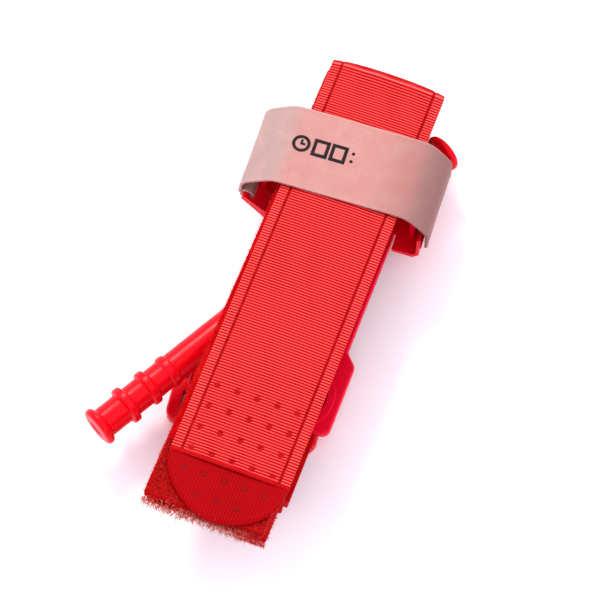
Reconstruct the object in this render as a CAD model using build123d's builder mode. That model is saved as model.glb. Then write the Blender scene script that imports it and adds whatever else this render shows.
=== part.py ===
from build123d import *
from math import cos, radians, sin, tan
import os

# A windlass tourniquet folded for storage. Millimetres, +Z up, standing on Z = 0. Lengthways is +Y, from the
# band's rounded tip to its upper folds. Positions are measured from the windlass's centre over the plate's
# centreline, and FRAME_X and FRAME_Y carry that point into the part's own frame.
FRAME_X = 7.4965
FRAME_Y = 3.325

# Band: a flat sleeve of two plies with a pull strap inside it
BAND_WIDTH = 38.0
PULL_WIDTH = 25.0
WEBBING = 0.5  # grosgrain ply
PULL = 0.4
HOOK_LOOP = 0.8
PLY_GAP = 0.02
BAND = WEBBING + PULL + HOOK_LOOP
FOLD_R = 0.98
STITCH_X = 15.7  # each stitch line from the band's centreline
THREAD_WIDTH = 0.5
THREAD = 0.12

# Folded pack: five runs over the windlass
PACK_X = 2.5
PITCH = 2.0
PACK_Z = 25.35  # middle of the lowest run
TOP_FOLD_Y = 73.2
WALL_Y = 76.2  # the end wall bulges past the folds above it
WALL_TOP_Z = 20.0
WALL_R = 4.0
LOW_FOLD_Y = -82.65
WEBBING_END_Y = -68.0
TAB_START_Y = -42.5
TAB_END_Y = -84.0
TAB_CORNER_R = 13.0
TAB = 0.8
WELD_R = 0.9
WELD_PITCH_X = 6.5
WELD_PITCH_Y = 7.1

# Fixed stretch of band, under the plate
FIXED_X = 0.8
FIXED_Z = 5.85
FIXED_DIP_Y = (57.5, 67.0)
FOLD_CLEARANCE = 1.2  # from each fold's axis to the fixed stretch
FOLD_START = 0.3
PACK_HINGE_Z = BAND / 2

# Tail: the lower end of the band, folded back under the plate to the buckle, a little askew
TAIL_X, TAIL_Y = -0.94, -64.36
TAIL_ANGLE = 7.0
TAIL_Z = 2.1
TAIL_FOLD_Y = -3.2
TAIL_FOLD_R = 1.8
TAIL_END_Y = 14.0
BUCKLE_Y = 33.1
BUCKLE = (48.6, 30.0, 3.9)
BUCKLE_Z = 0.15
BUCKLE_CORNER_R = 3.5
BAR_Y = BUCKLE_Y - BUCKLE[1] / 2 + 1.4
BAR_R = 1.2
SLOT_LONG = 41.0
LOOP = 0.6
LOOP_WIDTH = 37.0
LOOP_R = 1.5

# Plate
PLATE_Z = 6.8
PLATE = 2.7
PLATE_TOP = PLATE_Z + PLATE
PLATE_WIDTH = 40.0
EAR_WIDTH = 47.6
EAR_Y = (-39.2, -14.2)
EAR_SHOULDER_Y = -10.2
EAR_CORNER_R = 2.8
PLATE_END_Y = 52.0
WINDOW = (38.5, 14.5)
WINDOW_Y = -28.65
WINDOW_R = 6.0
LIP = 2.3
LIP_HEIGHT = 0.6
STRAP_SLOT = (24.0, 3.2)
STRAP_SLOT_Y = (-8.0, 8.0)

# Windlass rod
ROD_X = -8.3
ROD_Z = 16.5
ROD_ANGLE = 28.2  # from +Y towards +X
ROD_HALF = 73.3
ROD_R = 4.9
FLANGE_R = 6.3
FLANGE = 3.0
DOME = 2.2
RIBS = ((12.5, 6.05), (21.0, 5.65), (29.0, 5.3))  # distance from the end, radius
RIB_HALF = 1.6
ROD_SLOT = (27.0, 3.4)
ROD_WAIST = (36.0, 12.0, 9.4)
WINDLASS_STRAP_WIDTH = 22.0
WINDLASS_STRAP = 0.9

# Clip
CLIP_Y = (32.5, 46.5)
CLIP_PIVOT_Y = 40.5
CLIP_ANGLE = 3.0  # the clip sits a little askew on the plate
CLIP_HALF = 26.0
CLIP_WALL = 1.8
CLIP_FLOOR = 0.85
CLIP_TOP = 24.2
HORN = 1.45
CLIP_CORNER_R = 6.0
MOUTH_HALF = 12.0
MOUTH_Z = 17.0
WING_Y = (26.6, 54.8)
WING_BAR = (-29.0, 19.4)
WING_BAR_R = 1.1
WING_ARM = 1.2
WING_Z = (9.6, 12.8)  # the sloped web at its foot, beside the band
WING_FOOT_X = -20.7
WING_WEB = 27.3  # between the arms the wing stops here, to let the opened strap past
RIGHT_WING_END_Y = 48.6
RIGHT_SHELF_X = 20.2
RIGHT_SHELF_TOP = 11.2
RIGHT_LIP = (28.1, 29.2, 14.6, 22.6)  # inner and outer face, foot of the hook patch, top
HOOK_PATCH = 0.3

# Writing strap
STRAP_WIDTH = 27.6
STRAP = 1.0
STRAP_RING_R = 1.6
STRAP_PATH = ((-31.1, 20.0), (-30.4, 27.0), (-20.5, 35.5), (24.0, 35.5), (31.1, 27.0), (31.1, 18.6))
STRAP_RADII = (7.0, 7.0, 7.0, 4.0)
PRINT = (0.06, 17.0, 8.5)  # thickness, length, width
LOOP_PATCH = 0.35
LOOP_PATCH_Z = (18.9, 23.7)
STRAP_TACK = (18.0, 3.0)
STRAP_TACK_UP = 2.3  # from the start of the strap's left leg


def level(height):
    """The horizontal plane at a height, measured from the windlass's centre."""
    return Plane(origin=(FRAME_X, FRAME_Y, height), x_dir=(1, 0, 0), z_dir=(0, 0, 1))


def lengthways(x):
    """The plane across X at x: its own x runs along the band and its own y is height."""
    return Plane(origin=(FRAME_X + x, FRAME_Y, 0), x_dir=(0, 1, 0), z_dir=(1, 0, 0))


def turned(x, y, height, angle):
    """A horizontal plane turned by an angle about a point."""
    a = radians(angle)
    return Plane(origin=(FRAME_X + x, FRAME_Y + y, height), x_dir=(cos(a), sin(a), 0), z_dir=(0, 0, 1))


def clip_level(height):
    """The clip's own level plane: its origin is at the pivot, and its x runs across the clip."""
    return turned(0, CLIP_PIVOT_Y, height, CLIP_ANGLE)


def clip_across(y):
    """The plane across the clip at y, facing the band's tip: its own y is height."""
    base = clip_level(0)
    return Plane(origin=base.from_local_coords((0, y - CLIP_PIVOT_Y, 0)), x_dir=base.x_dir, z_dir=-base.y_dir)


def tail_level(height):
    return turned(TAIL_X, TAIL_Y, height, TAIL_ANGLE)


def tail_lengthways(x):
    """The lengthways plane of the tail, x to the right of its own centreline."""
    base = tail_level(0)
    return Plane(origin=base.from_local_coords((x, 0, 0)), x_dir=base.y_dir, z_dir=base.x_dir)


def beside(points, radii, distance):
    """A path with rounded corners, moved to its left by a distance."""
    corners = [Vector(*point) for point in points]
    runs = [(end - start).normalized() for start, end in zip(corners, corners[1:])]
    lefts = [Vector(-run.Y, run.X) for run in runs]
    moved = [corners[0] + lefts[0] * distance]
    for corner, before, after in zip(corners[1:-1], lefts, lefts[1:]):
        moved.append(corner + (before + after) * (distance / (1 + before.dot(after))))
    moved.append(corners[-1] + lefts[-1] * distance)
    turns = [before.cross(after).Z for before, after in zip(runs, runs[1:])]
    rounded = [radius - distance if turn > 0 else radius + distance for radius, turn in zip(radii, turns)]
    return FilletPolyline(*moved, radius=rounded)


def ribbon(points, radii, low, high):
    """The side view of a ribbon, from low to high to the left of a path with rounded corners."""
    with BuildSketch() as face:
        with BuildLine():
            first = beside(points, radii, low)
            second = beside(points, radii, high)
            Line(first @ 0, second @ 0)
            Line(first @ 1, second @ 1)
        make_face()
    return face.sketch


# Each ply's place in the band, to the left of the direction of travel from the buckle to the tip
WEBBING_PLY = (-BAND / 2, -BAND / 2 + WEBBING - PLY_GAP)
PULL_PLY = (-BAND / 2 + WEBBING, BAND / 2 - HOOK_LOOP - PLY_GAP)
HOOK_LOOP_PLY = (BAND / 2 - HOOK_LOOP, BAND / 2)

# The fixed stretch runs level under the plate and dips to the ground before the upper fold.
FIXED_START_Y = TAIL_Y - tan(radians(TAIL_ANGLE)) * BAND_WIDTH / 2
FIXED_PATH = (
    (FIXED_START_Y, FIXED_Z),
    (FIXED_DIP_Y[0], FIXED_Z),
    (FIXED_DIP_Y[1], PACK_HINGE_Z),
    (WALL_Y - FOLD_CLEARANCE, PACK_HINGE_Z),
)
FIXED_RADII = (6.0, 6.0)

# The pack climbs from the upper fold and runs back and forth over the windlass.
PACK_RUNS = [PACK_Z + PITCH * run for run in range(5)]


def pack_path(end_y):
    """The pack's path up the end wall and along its runs to end_y on the top run."""
    path = [(WALL_Y, PACK_HINGE_Z + FOLD_START), (WALL_Y, WALL_TOP_Z)]
    for run, height in enumerate(PACK_RUNS):
        start, end = (TOP_FOLD_Y, LOW_FOLD_Y) if run % 2 == 0 else (LOW_FOLD_Y, TOP_FOLD_Y)
        path += [(start, height), (end, height)]
    path[-1] = (end_y, PACK_RUNS[-1])
    return path, [WALL_R] + [FOLD_R] * (len(path) - 3)


# The tail leaves the buckle, runs down the ground side and folds up into the fixed stretch.
TAIL_PATH = ((TAIL_END_Y, TAIL_Z), (TAIL_FOLD_Y, TAIL_Z), (TAIL_FOLD_Y, FIXED_Z), (-FOLD_START, FIXED_Z))
TAIL_RADII = (TAIL_FOLD_R, TAIL_FOLD_R)


# Fixed stretch of band: two plies and the pull strap, ending square to the tail's skewed fold
def fixed_ply(ply, width, name):
    with BuildPart() as piece:
        with BuildSketch(lengthways(FIXED_X - width / 2)):
            add(ribbon(FIXED_PATH, FIXED_RADII, *ply))
        extrude(amount=width)
        with BuildSketch(tail_level(0)):
            with Locations((0, FOLD_CLEARANCE - BAND_WIDTH)):
                Rectangle(4 * BAND_WIDTH, 2 * BAND_WIDTH)
        extrude(amount=CLIP_TOP, mode=Mode.SUBTRACT)
    piece.part.label = name
    export_step(piece.part, f"parts/{name}.step")
    return piece.part


# Folded pack: the same three layers, back and forth in one length
def pack_ply(ply, width, end_y, name):
    path, radii = pack_path(end_y)
    with BuildPart() as piece:
        with BuildSketch(lengthways(PACK_X - width / 2)):
            add(ribbon(path, radii, *ply))
        extrude(amount=width)
    piece.part.label = name
    export_step(piece.part, f"parts/{name}.step")
    return piece.part


# Tail: the same three layers, folded up to the fixed stretch
def tail_ply(ply, width, name):
    with BuildPart() as piece:
        with BuildSketch(tail_lengthways(-width / 2)):
            add(ribbon(TAIL_PATH, TAIL_RADII, *ply))
        extrude(amount=width)
    piece.part.label = name
    export_step(piece.part, f"parts/{name}.step")
    return piece.part


os.makedirs("parts", exist_ok=True)

fixed_ply(WEBBING_PLY, BAND_WIDTH, "fixed_band_webbing")
fixed_ply(PULL_PLY, PULL_WIDTH, "fixed_pull_strap")
fixed_ply(HOOK_LOOP_PLY, BAND_WIDTH, "fixed_band_hook_loop")
pack_ply(WEBBING_PLY, BAND_WIDTH, WEBBING_END_Y, "pack_webbing")
pack_ply(PULL_PLY, PULL_WIDTH, TAB_START_Y + 1.0, "pack_pull_strap")
pack_ply(HOOK_LOOP_PLY, BAND_WIDTH, WEBBING_END_Y, "pack_hook_loop")
tail_ply(WEBBING_PLY, BAND_WIDTH, "tail_webbing")
tail_ply(PULL_PLY, PULL_WIDTH, "tail_pull_strap")
tail_ply(HOOK_LOOP_PLY, BAND_WIDTH, "tail_hook_loop")

# Stitching threads along both edges of the pack's top run
THREAD_Z = PACK_RUNS[-1] + BAND / 2
for side, name in ((-1, "pack_thread_left"), (1, "pack_thread_right")):
    with BuildPart() as thread:
        with BuildSketch(level(THREAD_Z)):
            with Locations((PACK_X + side * STITCH_X, (TOP_FOLD_Y + WEBBING_END_Y) / 2)):
                Rectangle(THREAD_WIDTH, TOP_FOLD_Y - WEBBING_END_Y - 2)
        extrude(amount=THREAD)
    thread.part.label = name
    export_step(thread.part, f"parts/{name}.step")

# Tip tab: a rounded end that starts inside the sleeve and thickens past the webbing's end
with BuildPart() as tip_tab:
    tab_top = PACK_RUNS[-1] + BAND / 2 - WEBBING - PLY_GAP
    with BuildSketch(level(tab_top - PULL + 2 * PLY_GAP)):
        with Locations((PACK_X, (TAB_START_Y + WEBBING_END_Y) / 2 - 1)):
            Rectangle(BAND_WIDTH, TAB_START_Y - WEBBING_END_Y + 2)
    extrude(amount=PULL - 2 * PLY_GAP)
    with BuildSketch(level(tab_top - TAB)):
        with Locations((PACK_X, (WEBBING_END_Y + TAB_END_Y) / 2)):
            tip = Rectangle(BAND_WIDTH, WEBBING_END_Y - TAB_END_Y - 0.6)
        fillet(tip.vertices().group_by(Axis.Y)[0], TAB_CORNER_R)
    extrude(amount=TAB)
tip_tab.part.label = "tip_tab"
export_step(tip_tab.part, "parts/tip_tab.step")

# Weld spots that fix the tab under the webbing's end
with BuildPart() as tip_welds:
    with BuildSketch(level(PACK_RUNS[-1] + BAND / 2)):
        with Locations((PACK_X, WEBBING_END_Y + 2.4 + 1.5 * WELD_PITCH_Y)):
            with GridLocations(WELD_PITCH_X, WELD_PITCH_Y, 5, 4):
                Circle(WELD_R)
    extrude(amount=THREAD)
tip_welds.part.label = "tip_welds"
export_step(tip_welds.part, "parts/tip_welds.step")

# Buckle: a flat frame with a round bar for the loop and a wide slot for the band
with BuildPart() as buckle:
    with BuildSketch(tail_level(BUCKLE_Z)):
        with Locations((0, BUCKLE_Y)):
            outline = Rectangle(BUCKLE[0], BUCKLE[1])
            fillet(outline.vertices(), BUCKLE_CORNER_R)
    extrude(amount=BUCKLE[2])
    chamfer(buckle.edges().group_by(Axis.Z)[-1], 0.6)
    with BuildSketch(tail_level(BUCKLE_Z)):
        with Locations((0, BAR_Y + 5.2)):
            Rectangle(SLOT_LONG, 7.8)
        with Locations((0, BAR_Y + 17.4)):
            Rectangle(SLOT_LONG, 9.0)
        with Locations((0, BAR_Y - 2.2)):
            Rectangle(SLOT_LONG, 7.0)
    extrude(amount=BUCKLE[2], mode=Mode.SUBTRACT)
    with BuildSketch(tail_lengthways(-SLOT_LONG / 2 - 1)):
        with Locations((BAR_Y, TAIL_Z)):
            Circle(BAR_R)
    extrude(amount=SLOT_LONG + 2)
buckle.part.label = "buckle"
export_step(buckle.part, "parts/buckle.step")

# Buckle loop: webbing round the buckle's bar, both legs sewn over the tail's end
LOOP_LEG = TAIL_Z - BAND / 2 - LOOP / 2 - 0.05
LOOP_ROUND = TAIL_Z - LOOP_R - LOOP / 2
LOOP_TOP = 2 * TAIL_Z - LOOP_LEG
LOOP_FRONT_Y = BAR_Y + LOOP_R + LOOP / 2
with BuildPart() as buckle_loop:
    loop_path = (
        (4.0, LOOP_LEG),
        (TAIL_END_Y - 1.0, LOOP_LEG),
        (BAR_Y - 2.0, LOOP_ROUND),
        (LOOP_FRONT_Y, LOOP_ROUND),
        (LOOP_FRONT_Y, 2 * TAIL_Z - LOOP_ROUND),
        (BAR_Y - 2.0, 2 * TAIL_Z - LOOP_ROUND),
        (TAIL_END_Y - 1.0, LOOP_TOP),
        (4.0, LOOP_TOP),
    )
    loop_radii = (4.0, 4.0, LOOP_R + LOOP / 2 - 0.03, LOOP_R + LOOP / 2 - 0.03, 4.0, 4.0)
    with BuildSketch(tail_lengthways(-LOOP_WIDTH / 2)):
        add(ribbon(loop_path, loop_radii, -LOOP / 2, LOOP / 2))
    extrude(amount=LOOP_WIDTH)
buckle_loop.part.label = "buckle_loop"
export_step(buckle_loop.part, "parts/buckle_loop.step")

# Stitching through the loop and the tail: a sewn box on top
with BuildPart() as buckle_tack:
    with BuildSketch(tail_level(LOOP_TOP + LOOP / 2 + PLY_GAP)):
        with Locations((0, (4.0 + TAIL_END_Y) / 2)):
            Rectangle(LOOP_WIDTH - 6, TAIL_END_Y - 6)
            Rectangle(LOOP_WIDTH - 8, TAIL_END_Y - 8, mode=Mode.SUBTRACT)
    extrude(amount=THREAD)
buckle_tack.part.label = "buckle_tack"
export_step(buckle_tack.part, "parts/buckle_tack.step")

# Plate: narrow under the windlass and clip, wide at the ear, with a lipped window and two strap slots
with BuildPart() as base_plate:
    with BuildSketch(level(PLATE_Z)):
        with Locations((0, (PLATE_END_Y + EAR_Y[0]) / 2)):
            Rectangle(PLATE_WIDTH, PLATE_END_Y - EAR_Y[0])
        with BuildLine():
            Polyline(
                (-PLATE_WIDTH / 2, EAR_SHOULDER_Y),
                (-EAR_WIDTH / 2, EAR_Y[1]),
                (-EAR_WIDTH / 2, EAR_Y[0]),
                (EAR_WIDTH / 2, EAR_Y[0]),
                (EAR_WIDTH / 2, EAR_Y[1]),
                (PLATE_WIDTH / 2, EAR_SHOULDER_Y),
                close=True,
            )
        make_face()
        fillet(vertices().filter_by(lambda v: abs(abs(v.X) - EAR_WIDTH / 2) < 0.1), EAR_CORNER_R)
        with Locations((0, WINDOW_Y)):
            RectangleRounded(WINDOW[0], WINDOW[1], WINDOW_R, mode=Mode.SUBTRACT)
        for slot_y in STRAP_SLOT_Y:
            with Locations((ROD_X + 4, slot_y)):
                RectangleRounded(*STRAP_SLOT, 1.5, mode=Mode.SUBTRACT)
    extrude(amount=PLATE)
    chamfer(base_plate.edges().group_by(Axis.Z)[-1], 0.5)
    with BuildSketch(level(PLATE_TOP - 0.6)):
        with Locations((0, WINDOW_Y)):
            RectangleRounded(WINDOW[0] + 2 * LIP, WINDOW[1] + 2 * LIP, WINDOW_R + LIP)
            RectangleRounded(WINDOW[0], WINDOW[1], WINDOW_R, mode=Mode.SUBTRACT)
    extrude(amount=0.6 + LIP_HEIGHT)
base_plate.part.label = "base_plate"
export_step(base_plate.part, "parts/base_plate.step")

# Windlass clip: a wide C with inward horns, and a wing on each side for the writing strap
with BuildPart() as windlass_clip:
    clip_floor_z = PLATE_TOP + 0.03
    with BuildSketch(clip_across(CLIP_Y[1])):
        with Locations((0, (clip_floor_z + CLIP_TOP) / 2)):
            shell = Rectangle(2 * CLIP_HALF, CLIP_TOP - clip_floor_z)
        fillet(shell.vertices().group_by(Axis.Y)[-1], CLIP_CORNER_R)
        inner_low = clip_floor_z + CLIP_FLOOR
        inner_high = CLIP_TOP - HORN
        with BuildSketch(mode=Mode.PRIVATE) as hollow:
            with Locations((0, (inner_low + inner_high) / 2)):
                space = Rectangle(2 * (CLIP_HALF - CLIP_WALL), inner_high - inner_low)
            fillet(space.vertices().group_by(Axis.Y)[-1], CLIP_CORNER_R - CLIP_WALL)
        add(hollow.sketch, mode=Mode.SUBTRACT)
        with Locations((0, (MOUTH_Z + CLIP_TOP) / 2 + 1)):
            Rectangle(2 * MOUTH_HALF, CLIP_TOP - MOUTH_Z + 2, mode=Mode.SUBTRACT)
    extrude(amount=CLIP_Y[1] - CLIP_Y[0])
    wing_length = WING_Y[1] - WING_Y[0]
    with BuildSketch(clip_across(RIGHT_WING_END_Y)):
        with BuildLine():
            Polyline(
                (RIGHT_SHELF_X, clip_floor_z),
                (CLIP_HALF + 1.2, clip_floor_z),
                (RIGHT_LIP[1], clip_floor_z + 2.6),
                (RIGHT_LIP[1], RIGHT_LIP[3]),
                (RIGHT_LIP[0], RIGHT_LIP[3]),
                (RIGHT_LIP[0], clip_floor_z + 3.2),
                (CLIP_HALF + 0.8, RIGHT_SHELF_TOP),
                (RIGHT_SHELF_X, RIGHT_SHELF_TOP),
                close=True,
            )
        make_face()
    extrude(amount=RIGHT_WING_END_Y - WING_Y[0])
    with BuildSketch(clip_across(WING_Y[1] + WING_ARM)):
        with BuildLine():
            Polyline(
                (WING_FOOT_X, WING_Z[0]),
                (WING_FOOT_X - 1.8, WING_Z[0]),
                (WING_BAR[0] - WING_BAR_R, WING_BAR[1] - 0.4),
                (WING_BAR[0], WING_BAR[1] + WING_BAR_R),
                (WING_FOOT_X, WING_Z[1]),
                close=True,
            )
        make_face()
    extrude(amount=wing_length + 2 * WING_ARM)
    with BuildSketch(clip_across(WING_Y[1])):
        with Locations(WING_BAR):
            Circle(STRAP_RING_R + STRAP + 0.3)
        with Locations((-WING_WEB - 3, WING_BAR[1] - 3.2)):
            Rectangle(6, 6.4)
    extrude(amount=wing_length, mode=Mode.SUBTRACT)
    web_free = inner_high - CLIP_CORNER_R - inner_low  # the web's foot stays out of the clip's inside
    with BuildSketch(clip_across(CLIP_Y[1])):
        with Locations((-(CLIP_HALF - CLIP_WALL) / 2, inner_low + web_free / 2)):
            Rectangle(CLIP_HALF - CLIP_WALL, web_free)
    extrude(amount=CLIP_Y[1] - CLIP_Y[0], mode=Mode.SUBTRACT)
    with BuildSketch(clip_across(WING_Y[1] + WING_ARM)):
        with Locations(WING_BAR):
            Circle(WING_BAR_R)
    extrude(amount=wing_length + 2 * WING_ARM)
windlass_clip.part.label = "windlass_clip"
export_step(windlass_clip.part, "parts/windlass_clip.step")

# Hook patch on the outside of the right lip
with BuildPart() as clip_hook_patch:
    with BuildSketch(clip_across(RIGHT_WING_END_Y - 1)):
        with Locations((RIGHT_LIP[1] + HOOK_PATCH / 2 + PLY_GAP, (RIGHT_LIP[2] + RIGHT_LIP[3]) / 2)):
            Rectangle(HOOK_PATCH, RIGHT_LIP[3] - RIGHT_LIP[2] - 1)
    extrude(amount=RIGHT_WING_END_Y - WING_Y[0] - 2)
clip_hook_patch.part.label = "clip_hook_patch"
export_step(clip_hook_patch.part, "parts/clip_hook_patch.step")

# Windlass rod: turned about its own axis, with a flattened waist and a slot for the strap
ROD_PLANE = turned(ROD_X, 0, ROD_Z, 90 - ROD_ANGLE)
with BuildPart() as windlass_rod:
    with BuildSketch(ROD_PLANE) as profile:
        with BuildLine():
            Line((-ROD_HALF, 0), (ROD_HALF, 0))
            for end in (-1, 1):
                crown = (end * ROD_HALF, 0)
                rim = (end * (ROD_HALF - DOME), FLANGE_R - 0.4)
                ThreePointArc(crown, (end * (ROD_HALF - 0.5), FLANGE_R / 2), rim)
                Polyline(
                    rim,
                    (end * (ROD_HALF - DOME - 0.4), FLANGE_R),
                    (end * (ROD_HALF - DOME - FLANGE + 0.5), FLANGE_R),
                    (end * (ROD_HALF - DOME - FLANGE), ROD_R),
                )
            Line(
                (-ROD_HALF + DOME + FLANGE, ROD_R),
                (ROD_HALF - DOME - FLANGE, ROD_R),
            )
        make_face()
    revolve(axis=Axis((ROD_PLANE.origin), ROD_PLANE.x_dir))
    for end in (-1, 1):
        for along, radius in RIBS:
            rib_plane = Plane(
                origin=ROD_PLANE.from_local_coords((end * (ROD_HALF - along) - RIB_HALF, 0, 0)),
                z_dir=ROD_PLANE.x_dir,
            )
            with BuildSketch(rib_plane):
                Circle(radius)
            extrude(amount=2 * RIB_HALF)
    with BuildSketch(ROD_PLANE.offset(-ROD_WAIST[2] / 2)):
        RectangleRounded(ROD_WAIST[0], ROD_WAIST[1], 4.0)
    extrude(amount=ROD_WAIST[2])
    slot_plane = Plane(
        origin=ROD_PLANE.from_local_coords((0, -ROD_WAIST[1], 0)),
        x_dir=ROD_PLANE.x_dir,
        z_dir=ROD_PLANE.y_dir,
    )
    with BuildSketch(slot_plane):
        SlotOverall(*ROD_SLOT)
    extrude(amount=2 * ROD_WAIST[1], mode=Mode.SUBTRACT)
windlass_rod.part.label = "windlass_rod"
export_step(windlass_rod.part, "parts/windlass_rod.step")

# Windlass strap: out of the plate on both sides and level through the rod's slot
with BuildPart() as windlass_strap:
    strap_side = Plane(
        origin=ROD_PLANE.from_local_coords((-WINDLASS_STRAP_WIDTH / 2, 0, 0)) - Vector(0, 0, ROD_Z),
        x_dir=ROD_PLANE.y_dir,
        z_dir=ROD_PLANE.x_dir,
    )
    foot_z = PLATE_TOP + LIP_HEIGHT + 0.3
    strap_path = ((-11.5, foot_z), (-7.8, ROD_Z), (7.8, ROD_Z), (11.5, foot_z))
    with BuildSketch(strap_side):
        add(ribbon(strap_path, (2.0, 2.0), -WINDLASS_STRAP / 2, WINDLASS_STRAP / 2))
    extrude(amount=WINDLASS_STRAP_WIDTH)
windlass_strap.part.label = "windlass_strap"
export_step(windlass_strap.part, "parts/windlass_strap.step")

# Writing strap: a ring round the clip's left bar, over the pack, and down outside the right lip
STRAP_START_Y = sum(WING_Y) / 2 + STRAP_WIDTH / 2
with BuildPart() as time_strap:
    with BuildSketch(clip_across(STRAP_START_Y)):
        with Locations(WING_BAR):
            Circle(STRAP_RING_R + STRAP)
        add(ribbon(STRAP_PATH, STRAP_RADII, -STRAP / 2, STRAP / 2))
        with Locations(WING_BAR):
            Circle(STRAP_RING_R, mode=Mode.SUBTRACT)
    extrude(amount=STRAP_WIDTH)
time_strap.part.label = "time_strap"
export_step(time_strap.part, "parts/time_strap.step")

# Loop patch inside the strap's free end, facing the clip's hook patch
with BuildPart() as time_strap_loop_patch:
    with BuildSketch(clip_across(STRAP_START_Y - 1)):
        with Locations((STRAP_PATH[-1][0] - STRAP / 2 - PLY_GAP - LOOP_PATCH / 2, sum(LOOP_PATCH_Z) / 2)):
            Rectangle(LOOP_PATCH, LOOP_PATCH_Z[1] - LOOP_PATCH_Z[0])
    extrude(amount=STRAP_WIDTH - 2)
time_strap_loop_patch.part.label = "time_strap_loop_patch"
export_step(time_strap_loop_patch.part, "parts/time_strap_loop_patch.step")

# Stitching that closes the strap's ring, on the outside of its left leg
with BuildPart() as time_strap_tack:
    leg_low, leg_high = Vector(*STRAP_PATH[0]), Vector(*STRAP_PATH[1])
    leg_run = (leg_high - leg_low).normalized()
    leg_mid = leg_low + leg_run * STRAP_TACK_UP + Vector(-leg_run.Y, leg_run.X) * (STRAP / 2 + PLY_GAP)
    tack_plane = Plane(
        origin=clip_across(CLIP_PIVOT_Y).from_local_coords((leg_mid.X, leg_mid.Y, 0)),
        x_dir=clip_level(0).y_dir,
        z_dir=clip_level(0).x_dir * -leg_run.Y + Vector(0, 0, leg_run.X),
    )
    with BuildSketch(tack_plane):
        Rectangle(*STRAP_TACK)
        Rectangle(STRAP_TACK[0] - 1.4, STRAP_TACK[1] - 1.4, mode=Mode.SUBTRACT)
    extrude(amount=THREAD)
time_strap_tack.part.label = "time_strap_tack"
export_step(time_strap_tack.part, "parts/time_strap_tack.step")

# Printed time field on the strap's top face
with BuildPart() as time_print:
    with BuildSketch(clip_level(STRAP_PATH[2][1] + STRAP / 2)):
        with Locations((-3.0, 1.0)):
            Rectangle(PRINT[1], PRINT[2])
    extrude(amount=PRINT[0])
time_print.part.label = "time_print"
export_step(time_print.part, "parts/time_print.step")
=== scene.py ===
import math

import bmesh
import bpy
import numpy as np
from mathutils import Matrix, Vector


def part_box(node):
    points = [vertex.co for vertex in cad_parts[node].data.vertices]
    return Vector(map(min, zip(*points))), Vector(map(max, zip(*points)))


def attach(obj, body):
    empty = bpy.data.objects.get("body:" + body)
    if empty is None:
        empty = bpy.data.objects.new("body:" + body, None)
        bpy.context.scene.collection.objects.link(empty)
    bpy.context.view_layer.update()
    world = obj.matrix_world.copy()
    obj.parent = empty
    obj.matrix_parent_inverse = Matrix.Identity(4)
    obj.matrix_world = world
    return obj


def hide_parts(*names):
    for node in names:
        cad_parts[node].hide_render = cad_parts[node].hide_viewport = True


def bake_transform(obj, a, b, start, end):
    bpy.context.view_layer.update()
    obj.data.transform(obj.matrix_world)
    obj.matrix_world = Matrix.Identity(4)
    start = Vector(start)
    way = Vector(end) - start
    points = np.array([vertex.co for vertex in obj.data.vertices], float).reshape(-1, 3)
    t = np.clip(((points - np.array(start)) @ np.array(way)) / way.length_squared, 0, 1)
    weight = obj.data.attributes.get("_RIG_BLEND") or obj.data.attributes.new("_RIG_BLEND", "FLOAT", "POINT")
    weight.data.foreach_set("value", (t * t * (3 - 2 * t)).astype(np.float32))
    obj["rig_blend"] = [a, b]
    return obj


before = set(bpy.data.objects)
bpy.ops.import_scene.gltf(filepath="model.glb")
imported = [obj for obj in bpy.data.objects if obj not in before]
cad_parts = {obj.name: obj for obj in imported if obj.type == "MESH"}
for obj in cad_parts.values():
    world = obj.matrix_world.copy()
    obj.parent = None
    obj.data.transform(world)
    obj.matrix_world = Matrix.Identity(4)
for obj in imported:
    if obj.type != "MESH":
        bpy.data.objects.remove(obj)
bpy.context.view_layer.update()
MM = 0.001

# A windlass tourniquet folded for storage. Sizes are millimetres from the windlass's centre over the plate's
# centreline, as the CAD source has them, and place() turns them into metres in the shared frame. A relief
# function gives the height and the shade of a ribbon at each place: s along it, x across it, the run that it
# is on, and the points of its path.

# ---------------- frame of measure
rod_low, rod_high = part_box("windlass_rod")
ROD_X, ROD_Z, ROD_ANGLE = -8.3, 16.5, 28.2
ORIGIN = np.array([(rod_low.x + rod_high.x) / 2 / MM - ROD_X, (rod_low.y + rod_high.y) / 2 / MM, 0.0])
BAND, BAND_WIDTH, PULL_WIDTH = 1.7, 38.0, 25.0
HALF_BAND = BAND_WIDTH / 2
WEBBING_PLY, PULL_PLY, PILE_PLY = (-0.85, -0.37), (-0.35, 0.03), (0.85, 0.05)  # fine and plain faces
PACK_X, PACK_Z, PITCH, FOLD_R = 2.5, 25.35, 2.0, 0.98
TOP_RUN_Z = PACK_Z + 4 * PITCH
TOP_FACE = TOP_RUN_Z + BAND / 2
TOP_RUN = 10  # where trace() puts the pack's top run
TOP_Y, LOW_Y, WALL_Y, END_Y = 73.2, -82.65, 76.2, -68.0
STITCH_X = 15.7
STITCH_PITCH = 4.5
RIB = 0.92
FIXED_X, FIXED_Z, GROUND_Z = 0.8, 5.85, 0.85
TAIL_X, TAIL_Y, TAIL_Z, TAIL_ANGLE = -0.94, -64.36, 2.1, 7.0
CLIP_PIVOT_Y, CLIP_ANGLE = 40.5, 3.0
STRAP_WIDTH, STRAP, STRAP_TOP = 27.6, 1.0, 35.5
HALF_STRAP = STRAP_WIDTH / 2
WING_LOW_Y, WING_HIGH_Y, SHELF_Y = 26.6, 54.8, 48.6
WING_MID_Y = (WING_LOW_Y + WING_HIGH_Y) / 2
LIP_X = 29.2  # outer face of the clip's right lip


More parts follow.
